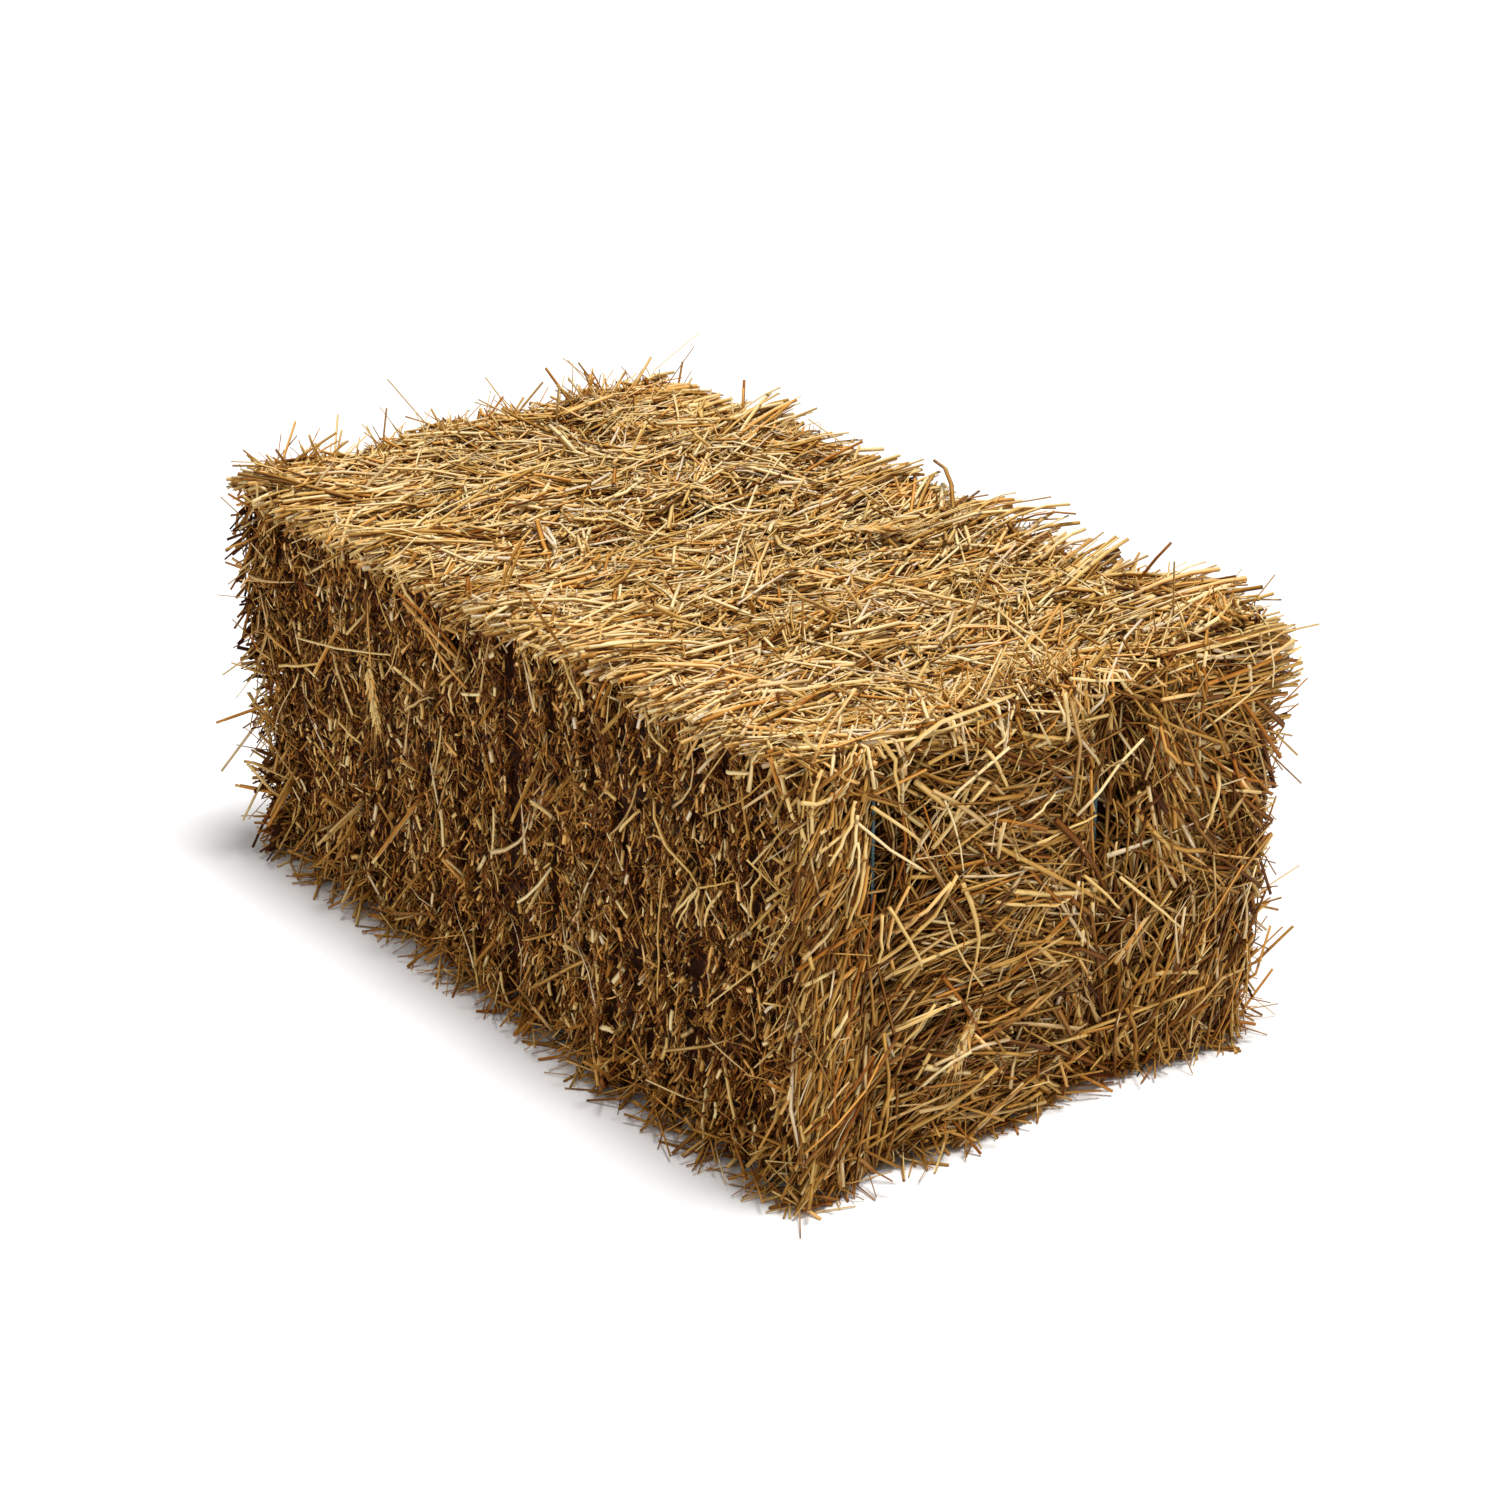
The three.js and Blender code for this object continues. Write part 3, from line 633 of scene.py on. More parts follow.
def overhang(side, n, most):
    """Stems of the top that run straight on over a long edge, in bundles: 1 is the folded side, -1 the cut."""
    bundles, k, root = 46, 4, TOP_HALF - 0.01
    bundle = rng.integers(0, bundles, n)
    x = np.clip(along_bale(bundles)[bundle] + rng.normal(0, 0.014, n), -HALF_LENGTH + 0.003, HALF_LENGTH - 0.003)
    angle = rng.normal(0, 0.42, bundles)[bundle] + rng.normal(0, 0.16, n)
    lift = np.clip(rng.normal(0.08 * side, 0.14, bundles)[bundle] + rng.normal(0, 0.10, n), -0.3, 0.5)
    reach = rng.uniform(0.3, 1.0, bundles)[bundle] * most * rng.beta(2, 2, n) + 0.012
    length = rng.uniform(0.05, 0.13, n)
    t = np.linspace(0, 1, k)
    foot, _ = round_place(x, np.full(n, side * root), -0.002, 1.0)
    way = np.stack([np.sin(angle), side * np.cos(angle), lift], axis=-1)
    tip = foot + way * ((HALF_WIDTH - 0.010 + reach - root) / np.maximum(np.cos(angle), 0.5))[:, None]
    back = tip - way * np.array([1, 1, 0.5]) * length[:, None]
    bow = bowed(n, k, 0.03 * length)
    points = back[:, None] + t[:, None] * (tip - back)[:, None]
    points[..., 2] += bow + 0.004 * np.sin(np.pi * t)
    points[..., 0] = np.clip(points[..., 0] + bow, -HALF_LENGTH + MIDDLE[0], HALF_LENGTH + MIDDLE[0])
    sheaf.add(points, UP, stem_radius(n, 1.1), top_tone(n), flat=flattened(n))


def droop(side, n):
    """Stems that hang over an end's top edge, in tufts."""
    tufts = 30
    tuft = rng.integers(0, tufts, n)
    y = rng.uniform(-HALF_WIDTH + 0.01, HALF_WIDTH - 0.01, tufts)[tuft] + rng.normal(0, 0.012, n)
    slant = rng.normal(0, 0.7, tufts)[tuft] + rng.normal(0, 0.35, n)
    behind = rng.uniform(0.010, 0.05, n)
    below = rng.uniform(0.003, 0.040, tufts)[tuft] * rng.uniform(0.3, 1.3, n)
    u = np.stack([-behind, -behind / 2, 0 * behind, below / 2, below], axis=1)
    ys = np.clip(y[:, None] + u * np.tan(np.clip(slant, -1.1, 1.1))[:, None], -HALF_WIDTH, HALF_WIDTH)
    w = rng.uniform(-0.003, 0.006, (n, 1)) + rng.normal(0, 0.002, (n, 5))
    upper, up = round_place(side * (HALF_LENGTH - 0.004 + np.minimum(u, 0)), ys, w, 1.0)
    lower, out = end_place(side, ys, HEIGHT - 0.004 - np.maximum(u, 0), w, 1.0)
    share = np.array([0, 0, 0.5, 1, 1])[None, :, None]
    points = upper * (1 - share) + lower * share
    points[:, 2] += 0.35 * w[:, 2:3] * np.array([side, 0, 1])
    sheaf.add(points, up * (1 - share) + out * share, stem_radius(n, 0.9), top_tone(n), flat=flattened(n))


def corner_brush(n):
    """The stems that fan out of the folded side's twine, past the near end's upper corner."""
    length = rng.uniform(0.07, 0.15, n)
    angle = np.radians(rng.normal(-6, 13, n))
    tip_y = HALF_WIDTH + 0.034 * rng.beta(1.6, 1.6, n)
    tip_z = np.clip(rng.normal(0.325, 0.020, n), 0.27, 0.362)
    k = 5
    t = np.linspace(-1, 0, k)[None]
    bow = bowed(n, k, 0.04 * length)
    ys = tip_y[:, None] + t * (length * np.cos(angle))[:, None]
    zs = tip_z[:, None] + t * (length * np.sin(angle))[:, None] + bow
    w = rng.uniform(-0.030, 0.006, n)[:, None] + 0.5 * bow
    points, out = end_place(1, ys, np.minimum(zs, HEIGHT + 0.008), w, 1.0)
    # Painted shade: brush stems lower down and lying deeper are painted darker
    tones = np.clip(top_tone(n) + 4.5 * (0.352 - tip_z) - 8 * w[:, 0], *TONE_LIMITS)
    flat = flattened(n)
    sheaf.add(points, out, stem_radius(n, 0.9), tones, flat=flat, kept=clear_of_windows(1, ys, zs))


def corner_stubs(n):
    """Cut ends that point at the upright corner between the near end and the cut side."""
    tip_y = -HALF_WIDTH - 0.008 + 0.058 * rng.random(n)
    tip_z = rng.uniform(0.006, HEIGHT - 0.012, n)
    angle = np.radians(rng.normal(50, 26, n))
    length = rng.uniform(0.015, 0.044, n)
    t = np.linspace(1, 0, 3)[None]
    ys = tip_y[:, None] + t * (length * np.cos(angle))[:, None]
    zs = np.minimum(tip_z[:, None] + t * (length * np.sin(angle))[:, None], HEIGHT)
    w = rng.uniform(-0.003, 0.006, (n, 1)) - t * rng.uniform(0.002, 0.012, (n, 1))
    points, out = end_place(1, ys, zs, w, 0.5)
    sheaf.add(points, out, rng.uniform(0.0011, 0.0021, n), end_tone(n), flat=rng.uniform(0.5, 1, n), hollow=True,
              kept=clear_of_windows(1, ys, zs))


def chaff(n):
    """Short broken pieces of stem and leaf strewn over the top."""
    x, s = along_bale(n), rng.uniform(*TOP, n)
    angle = rng.uniform(0, np.pi, n)[:, None]
    t = np.array([-0.5, 0.5])[None] * rng.uniform(0.004, 0.022, n)[:, None]
    w = rng.uniform(-0.003, 0.005, (n, 1)) + rng.normal(0, 0.35, (n, 1)) * t
    points, out = round_place(x[:, None] + t * np.sin(angle), s[:, None] + t * np.cos(angle), w, 0.6)
    sheaf.add(points, out, rng.uniform(0.0007, 0.0022, n), top_tone(n), sides=3, flat=rng.uniform(0.2, 0.7, n),
              taper=0.3)


MOST_STANDING_TONE = 0.56  # against a light background, darker stems look like hairs


def standing(place, out, sideways, reach, tone, fine=0.3, root=0.014):
    """Stems that stand out: rooted under the points place, leaning sideways, with their tips at reach. fine is
    the share of thin ones."""
    n = len(place)
    way = out * reach[:, None] + unit(sideways, 1e-9) * (reach * rng.uniform(0.3, 2.2, n))[:, None]
    t = np.array([-1.0, 0.0, 1.0])[:, None]
    start = place - way * (root / reach)[:, None]
    middle, half = (start + place + way) / 2, (place + way - start) / 2
    length = np.linalg.norm(half, axis=-1)[:, None] * 2
    bend = np.cross(half, rng.normal(0, 1, (n, 3)))
    bowed(n, 2, np.zeros(n))  # no bow, but its draws keep the later ones as they are
    bend *= rng.normal(0, 0.06, (n, 1)) * length / (np.linalg.norm(bend, axis=-1, keepdims=True) + 1e-9)
    points = middle[:, None] + t * half[:, None] + (1 - t ** 2) * bend[:, None]
    points[..., 2] = np.maximum(points[..., 2], 0.0015)
    upright = np.cross(half, np.array([0.3, 0.5, 0.8]))[:, None]
    radius = np.where(rng.random(n) < fine, rng.uniform(0.0006, 0.0009, n), stem_radius(n))
    sheaf.add(points, upright, radius, np.minimum(tone(n) + 0.10, MOST_STANDING_TONE), sides=3, taper=0.25,
              even=True)


def round_fringe(n, s_range, reach, tone, x_range=(-HALF_LENGTH, HALF_LENGTH), fine=0.35):
    x, s = rng.uniform(*x_range, n), rng.uniform(*s_range, n)
    place, out = round_place(x, s, 0.0, wrap_cut=True)
    sideways = np.cross(out, np.array([1.0, 0, 0])) * rng.choice([-1, 1], (n, 1)) + rng.normal(0, 0.45, (n, 3))
    far = mix(*reach, rng.beta(1, 3.5 if fine > 0.3 else 2, n))
    standing(place, out, sideways, far, tone, fine)


def end_fringe(side, n, reach):
    y, z = rng.uniform(-HALF_WIDTH, HALF_WIDTH, n), rng.uniform(0.01, HEIGHT, n)
    place, out = end_place(side, y, z, 0.0)
    sideways = rng.normal(0, 1, (n, 3))
    sideways[:, 0] = 0
    standing(place, out, sideways, mix(*reach, rng.beta(1, 3.5, n)), end_tone)


def leaf_lines(n):
    """For n leaves, at each point: the place along the leaf, the bow and the height."""
    k = 6
    length = rng.uniform(0.02, 0.10, n)
    t = np.linspace(-0.5, 0.5, k)[None] * length[:, None]
    bow = bowed(n, k, 0.10 * length)
    return t, bow, rng.uniform(-0.002, 0.004, (n, 1)) + rng.normal(0, 0.12, (n, 1)) * t


def round_leaves(n, s_low, s_high):
    """Torn leaf blades among the stems: flat, pale and twisted."""
    x, s = along_bale(n), rng.uniform(s_low, s_high, n)
    angle = rng.normal(0, 0.7, n)[:, None]
    t, bow, w = leaf_lines(n)
    sx = np.clip(x[:, None] + t * np.sin(angle) + bow, -HALF_LENGTH, HALF_LENGTH)
    ss = s[:, None] + t * np.cos(angle) - 0.5 * bow
    add_leaves(*round_place(sx, ss, w, 0.5, wrap_cut=s_low < -TOP_HALF))


def end_leaves(side, n):
    y, z = rng.uniform(-HALF_WIDTH + 0.01, HALF_WIDTH - 0.01, n), rng.uniform(0.02, HEIGHT - 0.01, n)
    angle = rng.normal(0.9, 0.9, n)[:, None]
    t, bow, w = leaf_lines(n)
    ys = np.clip(y[:, None] + t * np.cos(angle) + bow, -HALF_WIDTH, HALF_WIDTH)
    zs = np.clip(z[:, None] + t * np.sin(angle) - 0.5 * bow, 0.004, HEIGHT)
    points, out = end_place(side, ys, zs, w, 0.5)
    clear = clear_of_windows(side, ys, zs)
    add_leaves(points[clear], out[clear])


def add_leaves(points, out):
    n = len(points)
    sheaf.add(points, out, rng.uniform(0.0009, 0.0024, n), leaf_tone(n), flat=0.12, taper=0.75,
              twist=rng.normal(0, 2.2, n), hue=GREYISH)


def foot_fringe(n, reach):
    """Stems that stick out just above the floor, all round the bale."""
    along = rng.uniform(0, 2 * (LENGTH + WIDTH), n)
    z = 0.002 + 0.045 * rng.random(n) ** 2
    for side in (-1, 1):
        here = (along > LENGTH) & (along < LENGTH + WIDTH) if side > 0 else along > 2 * LENGTH + WIDTH
        stand_low(*end_place(side, rng.uniform(-HALF_WIDTH, HALF_WIDTH, here.sum()), z[here], -0.002), reach)
        here = along < LENGTH if side > 0 else (along > LENGTH + WIDTH) & (along < 2 * LENGTH + WIDTH)
        s = side * side_run(np.maximum(z[here], EDGE))
        place, out = round_place(along_bale(here.sum(), 0), s, -0.002, wrap_cut=True)
        place[:, 2] = z[here]
        stand_low(place, out, reach)


def stand_low(place, out, reach):
    n = len(place)
    sideways = rng.normal(0, 1, (n, 3)) - 0.4 * UP
    sideways -= out * (sideways * out).sum(axis=1, keepdims=True)
    standing(place, out, 0.5 * sideways, mix(*reach, rng.beta(1.1, 1.7, n)), end_tone, 0.25)


# The CAD's loose straws, by the CAD's own rules and repeatable random numbers
STRAW_ROOT = 0.012
LEAST_REACH, MOST_REACH = 0.010, 0.040
RIM_STRAWS, END_STRAWS = 6, 16
TALL_STRAWS = [
    ((-0.385, 0.128, 0.345), (-0.388, 0.140, 0.398)),
    ((-0.250, 0.210, 0.335), (-0.256, 0.219, 0.404)),
    ((0.268, 0.205, 0.340), (0.300, 0.226, 0.401)),
    ((0.397, 0.205, 0.335), (0.404, 0.270, 0.322)),
    ((-0.380, -0.205, 0.152), (-0.398, -0.271, 0.138)),
    ((0.120, -0.060, 0.345), (0.168, -0.096, 0.385)),
]


def cad_random(a, b):
    """The CAD's own repeatable random number from 0 to 1."""
    value = math.sin(a * 127.1 + b * 311.7 + 17.3) * 43758.5453
    return value - math.floor(value)


def cad_rim(u):
    """The place u, from 0 to 1, up the cut side, over the top and down the folded side: y, z, out, along."""
    d = u * (WIDTH + 2 * HEIGHT)
    if d < HEIGHT:
        return -HALF_WIDTH, d, (-1, 0), (0, 1)
    if d < HEIGHT + WIDTH:
        return d - HEIGHT - HALF_WIDTH, HEIGHT, (0, 1), (1, 0)
    return HALF_WIDTH, WIDTH + 2 * HEIGHT - d, (1, 0), (0, 1)


def cad_straw(p, out, lean, reach):
    p, way = np.array(p), np.array(out) * reach + np.array(lean)
    return p - way * STRAW_ROOT / reach, p + way


def cad_rim_straws(flake, x0, x1):
    for i in range(RIM_STRAWS):
        r = [cad_random(flake * 61 + i, 20 + n) for n in range(6)]
        y, z, out, along = cad_rim(mix(0.03, 0.97, r[0]))
        reach = mix(LEAST_REACH, MOST_REACH, r[1] ** 2)
        across = reach * mix(0.6, 1.8, r[2]) * (-1 if r[3] < 0.5 else 1)
        lean = (reach * (r[4] - 0.5), along[0] * across, along[1] * across)
        yield cad_straw((mix(x0, x1, 0.2 + 0.6 * r[5]), y, z), (0, *out), lean, reach)


def cad_end_straws(side):
    for i in range(END_STRAWS):
        r = [cad_random(side * 83 + i, 40 + n) for n in range(6)]
        reach = mix(LEAST_REACH, MOST_REACH, r[1] ** 1.5)
        if i % 2:
            y, z, out, along = cad_rim(mix(0.03, 0.97, r[0]))
            across = 1.4 * reach * (r[2] - 0.5)
            lean = (side * reach * mix(0.1, 0.5, r[3]), along[0] * across, along[1] * across)
            yield cad_straw((side * (HALF_LENGTH - 0.008), y, z), (0, *out), lean, reach)
            continue
        sweep, turn = reach * mix(1.2, 3, r[3]), 2 * math.pi * r[2]
        lean = (0, math.cos(turn) * sweep, math.sin(turn) * sweep)
        p = (side * HALF_LENGTH, (r[4] - 0.5) * 0.9 * WIDTH, mix(0.1, 0.95, r[5]) * HEIGHT)
        yield cad_straw(p, (side, 0, 0), lean, 0.7 * reach)


def cad_flake_edges():
    thickness = [1 + 0.16 * (2 * cad_random(k, 5) - 1) for k in range(len(FLAKES))]
    return np.concatenate([[0], np.cumsum(thickness)]) / sum(thickness) * LENGTH - HALF_LENGTH


def loose_straws():
    """A stem, sometimes split in two, in place of each loose straw of the CAD."""
    edges = cad_flake_edges()
    found = [straw for k in range(len(FLAKES)) for straw in cad_rim_straws(k, edges[k], edges[k + 1])]
    found += [straw for side in (-1, 1) for straw in cad_end_straws(side)]
    found += [(np.array(root), np.array(tip)) for root, tip in TALL_STRAWS]
    root, tip = (np.array([pair[i] for pair in found]) for i in (0, 1))
    for end in (root, tip):
        end[:, 2] = np.maximum(end[:, 2], 0.0044)
    n = len(found)
    t = np.linspace(0, 1, 5)[None, :, None]
    way = tip - root
    side_step = unit(np.cross(way, rng.normal(0, 1, (n, 3))))
    length = np.linalg.norm(way, axis=-1)[:, None]
    # Each half: its side, its share of the straws, its share of the length, and how far it is off the middle
    for sign, share, part, off in ((1, 1.0, 1, 0.0004), (-1, 0.6, 0.9, 0.0012)):
        chosen = rng.random(n) < share
        bend = side_step * length * rng.normal(0.02, 0.03, (n, 1))
        apart = sign * side_step * off
        points = root[:, None] + t * way[:, None] * part + 4 * t * (1 - t) * bend[:, None] + apart[:, None]
        upright = np.cross(way, side_step)[:, None]
        sheaf.add(points[chosen] + MIDDLE, upright[chosen], rng.uniform(0.0013, 0.0020, n)[chosen],
                  litter_tone(n)[chosen] + 0.12, sides=5, hollow=True, taper=0.25, even=True)


def ear(base, way, out, length=0.052, tone=0.22, n=22):
    """A wheat ear on its stem: n grains in two rows, each with a bristle."""
    base, way, out = (np.array(v, float) for v in (base, way, out))
    way = unit(way)
    across = unit(np.cross(way, out))
    out = np.cross(across, way)
    stem = base + way * np.linspace(-0.07, length, 5)[:, None] - out * 0.012 * np.linspace(1, 0, 5)[:, None] ** 2
    sheaf.add(stem[None], out, 0.0011, tone, sides=5, taper=0.4)
    k = np.arange(n)
    row = np.where(k % 2, 1, -1)[:, None]
    at = (base + way * (k / n * length)[:, None] + across * (row * 0.0018))[:, None]
    tilt = way + across * (row * 0.42) + out * rng.normal(0.10, 0.16, n)[:, None]
    size = (0.0095 * np.sin(np.pi * (0.15 + 0.75 * k / n)) ** 0.5)[:, None, None]
    grains = at + np.array([-0.2, 0.3, 0.8, 1.0])[:, None] * tilt[:, None] * size
    sheaf.add(grains, out, 0.0023, rng.normal(tone, 0.05, n), sides=6, flat=0.75, taper=0.75)
    t = np.linspace(0.6, 1, 3)[:, None] * np.array([1, 2.6, 4.6])[:, None]
    awns = at + t * (way + 0.45 * (tilt - way) + rng.normal(0, 0.08, (n, 3)))[:, None] * size
    sheaf.add(awns, out, 0.00035, rng.normal(tone, 0.05, n), sides=3, taper=0.7)


def blend_of(*choices):
    """A function that picks n tones, from 0, the palest, to 1, from (share, middle, scatter) choices."""
    share, middle, scatter = np.array(choices, float).T

    def pick(n):
        which = rng.choice(len(choices), n, p=share / share.sum())
        return np.clip(rng.normal(middle[which], scatter[which]), *TONE_LIMITS)

    return pick


top_tone = blend_of((0.36, 0.05, 0.05), (0.42, 0.24, 0.09), (0.22, 0.48, 0.1))
# The lowest layers' tones are painted darker, as painted shade under the stems that lie over them
shaded_under_tone = blend_of((0.4, 0.50, 0.1), (0.6, 0.74, 0.07))
shaded_end_under_tone = blend_of((0.5, 0.40, 0.1), (0.5, 0.60, 0.08))
leaf_tone = blend_of((0.5, 0.20, 0.07), (0.5, 0.36, 0.1))
cut_tone = blend_of((0.10, 0.22, 0.08), (0.42, 0.44, 0.08), (0.48, 0.64, 0.07))
sliver_tone = blend_of((0.08, 0.16, 0.08), (0.42, 0.41, 0.09), (0.50, 0.67, 0.08))
litter_tone = blend_of((0.45, 0.14, 0.07), (0.55, 0.34, 0.1))
end_tone = blend_of((0.16, 0.18, 0.08), (0.46, 0.42, 0.09), (0.38, 0.62, 0.08))

# The stems that stand out most: radius, tone, thickness over width, and points on the face, (x, z) on the
# cut side, (y, z) on the near end and (x, y) on the top. The lengths here are in millimetres
KEY_STEMS = {
    "cut": [
        (2.0, 0.12, 0.7, [(382, 356), (396, 333), (411, 306)]),
        (0.9, 0.35, 1, [(294, 285), (343, 315), (375, 345)]),
        (2.6, 0.05, 0.2, [(343, 320), (357, 349), (378, 366)]),
        (1.5, 0.25, 0.8, [(232, 275), (237, 259), (284, 222)]),
        (1.4, 0.18, 0.6, [(284, 222), (251, 184)]),
        (1.2, 0.12, 0.6, [(284, 222), (256, 178)]),
        (1.6, 0.2, 0.6, [(284, 222), (285, 191)]),
        (1.6, 0.22, 0.6, [(315, 232), (295, 195)]),
        (1.0, 0.35, 1, [(284, 222), (328, 244)]),
        (1.0, 0.3, 1, [(244, 217), (239, 169), (236, 109)]),
        (1.4, 0.15, 1, [(213, 346), (232, 328), (248, 320)]),
        (1.2, 0.25, 1, [(361, 266), (352, 242), (343, 218)]),
        (1.8, 0.08, 0.6, [(323, 330), (346, 336)]),
        (1.6, 0.3, 0.8, [(187, 234), (211, 259)]),
        (1.2, 0.15, 1, [(-318, 235), (-234, 252), (-157, 269)]),
        (1.6, 0.3, 0.8, [(-351, 198), (-283, 221)]),
        (1.2, 0.15, 1, [(-53, 278), (-55, 249)]),
        (1.6, 0.1, 0.6, [(-44, 271), (0, 287)]),
        (1.2, 0.2, 1, [(-247, 191), (-213, 169)]),
        (1.8, 0.2, 0.8, [(51, 346), (107, 349), (129, 323)]),
    ],
    "end": [
        (2.4, 0.15, 0.1, [(-165, 368), (-152, 353), (-151, 335), (-143, 304)]),
        (1.9, 0.15, 0.8, [(-185, 325), (-198, 304), (-212, 283)]),
        (1.6, 0.12, 0.8, [(-185, 315), (-190, 296), (-194, 276)]),
        (1.3, 0.05, 0.8, [(-184, 293), (-187, 273), (-190, 253)]),
        (1.7, 0.2, 0.8, [(-175, 294), (-184, 261), (-193, 227)]),
        (1.5, 0.18, 1, [(-172, 318), (-147, 297), (-125, 278)]),
        (1.2, 0.02, 0.6, [(-187, 311), (-170, 294), (-158, 282), (-120, 252)]),
        (1.6, 0.2, 1, [(-153, 232), (-135, 200), (-118, 170)]),
        (1.5, 0.2, 1, [(-161, 229), (-163, 210), (-163, 190)]),
        (1.1, 0.12, 1, [(-187, 371), (-194, 359), (-200, 348)]),
        (1.8, 0.2, 0.5, [(-68, 338), (-46, 302)]),
        (1.3, 0.03, 0.7, [(-26, 266), (3, 282)]),
        (1.0, 0.04, 0.7, [(-102, 304), (-84, 243)]),
        (1.3, 0.2, 1, [(-31, 244), (10, 249), (51, 250)]),
        (2.2, 0.35, 0.8, [(-56, 257), (0, 218), (64, 173)]),
        (1.6, 0.2, 1, [(-52, 208), (14, 186), (37, 193)]),
        (2.6, 0.15, 0.4, [(-86, 234), (-70, 189), (-76, 131)]),
        (1.4, 0.2, 1, [(41, 202), (82, 161)]),
        (2.0, 0.2, 0.8, [(173, 257), (160, 204)]),
        (1.4, 0.12, 0.5, [(79, 190), (148, 126)]),
        (2.0, 0.12, 1, [(-140, 353), (-104, 372), (-42, 374)]),
        (2.4, 0.15, 0.6, [(10, 362), (14, 320)]),
        (1.3, 0.03, 0.8, [(15, 372), (71, 357)]),
    ],
    "top": [
        (1.6, 0.1, 1, [(282, 75), (395, 14)]),
        (1.8, 0.1, 1, [(112, 39), (189, 60), (252, 87)]),
        (2.4, 0.02, 0.3, [(-163, -115), (-138, -99)]),
        (1.6, 0.15, 1, [(-250, -80), (-266, 38)]),
    ],
}


def key_stems():
    for face, stems in KEY_STEMS.items():
        for radius, tone, flat, corners in stems:
            corners = np.array(corners) / 1000
            run = np.concatenate([[0], np.cumsum(np.linalg.norm(np.diff(corners, axis=0), axis=1))])
            at = np.linspace(0, run[-1], 7)
            a, b = (np.interp(at, run, column) for column in corners.T)
            w = 0.004 + 0.004 * np.sin(np.pi * at / run[-1]) + rng.normal(0, 0.001, 7)
            if face == "cut":
                points, out = cut_place(a, b, w)
            elif face == "end":
                points, out = end_place(1, a, b, w, 1.0)
            else:
                points, out = round_place(a, b, w, 1.0)
            crushed = flat < 0.5
            wide, darker, twist = (0.8, 0.14, 1.2) if crushed else (1, 0.02, 0.0)
            sheaf.add(points[None], out[None], radius / 1000 * wide, tone + darker, sides=6, flat=flat,
                      hollow=not crushed, taper=0.25, twist=twist, hue=PLAIN)


# Wheat ears: the foot of each, the way it points and the way its face looks
EARS = [
    ((0.412, 0.106, 0.313), (0.02, 0.57, -0.82), (1, 0, 0.1)),
    ((0.409, -0.060, 0.120), (0.05, -0.5, -0.8), (1, 0, 0.1)),
    ((-0.409, 0.020, 0.210), (-0.05, 0.7, -0.6), (-1, 0, 0.1)),
    ((-0.120, 0.236, 0.230), (0.5, 0.05, -0.8), (0, 1, 0.1)),
    ((0.040, 0.100, 0.366), (0.6, 0.7, 0.05), (0, 0, 1)),
    ((-0.180, -0.236, 0.250), (0.3, -0.05, -0.9), (0, -1, 0.1)),
]

CORE_DEPTH = -0.0165
EDGES = np.array([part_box(name)[0].x for name in FLAKES] + [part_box(FLAKES[-1])[1].x])


def core(part, flake):
    """The body of a flake behind its stems, as a closed block, painted dark as the shade deep between the stems."""
    low = max(EDGES[flake] - MIDDLE[0], -HALF_LENGTH + 0.020)
    high = min(EDGES[flake + 1] - MIDDLE[0], HALF_LENGTH - 0.020)
    steps, around = 6, 120
    x, s = np.meshgrid(np.linspace(low, high, steps), np.linspace(-HALF_ROUND, HALF_ROUND, around, endpoint=False),
                       indexing="ij")
    points, _ = round_place(x, s, CORE_DEPTH, wrap_cut=True)
    points[..., 2] = np.maximum(points[..., 2], 0.003)
    index = np.arange(steps * around).reshape(steps, around)
    turned = np.roll(index, -1, axis=1)
    quads = np.stack([index[:-1], index[1:], turned[1:], turned[:-1]], -1).reshape(-1, 4)
    add_faces(part, quads, pairs(rng.random(quads.size), CORE_SHADE_ROW, quads.size))
    add_faces(part, np.stack([index[0], index[-1, ::-1]]), np.full((2, around, 2), CORE_SHADE_ROW))
    add_vertices(part, points)


def new_material(name):
    material = bpy.data.materials.new(name)
    material.use_nodes = True
    return material, material.node_tree, material.node_tree.nodes["Principled BSDF"].inputs


def feed(tree, socket, value):
    """Links a socket to the input, or sets the input to a value."""
    if isinstance(value, bpy.types.NodeSocket):
        tree.links.new(value, socket)
    else:
        socket.default_value = value


def node(tree, kind, **inputs):
    made = tree.nodes.new(f"ShaderNode{kind}")
    for key, value in inputs.items():
        feed(tree, made.inputs[key.replace("_", " ")], value)
    return made


def math_node(tree, operation, *values):
    made = node(tree, "Math")
    made.operation = operation
    for socket, value in zip(made.inputs, values):
        feed(tree, socket, value)
    return made.outputs[0]


def noise(tree, vector, **inputs):
    return node(tree, "TexNoise", Vector=vector, **inputs).outputs["Fac"]


def ramp(tree, value, stops, interpolation="LINEAR"):
    """A colour ramp through (place, colour) stops."""
    made = node(tree, "ValToRGB", Fac=value)
    made.color_ramp.interpolation = interpolation
    elements = made.color_ramp.elements
    for element, (place, _) in zip(elements, (stops[0], stops[-1])):
        element.position = place
    for place, _ in stops[1:-1]:
        elements.new(place)
    for element, (_, color) in zip(elements, stops):
        element.color = (*color, 1)
    return made.outputs["Color"]


def range_node(tree, value, start, end, low, high):
    """The value, taken from start and end to low and high."""
    made = node(tree, "MapRange", Value=value, From_Min=start, From_Max=end, To_Min=low, To_Max=high)
    return made.outputs[0]


def color_mix(tree, blend, factor, a, b):
    made = tree.nodes.new("ShaderNodeMix")
    made.data_type, made.blend_type = "RGBA", blend
    for key, value in (("Factor", factor), ("A", a), ("B", b)):
        feed(tree, made.inputs[key], value)
    return made.outputs["Result"]


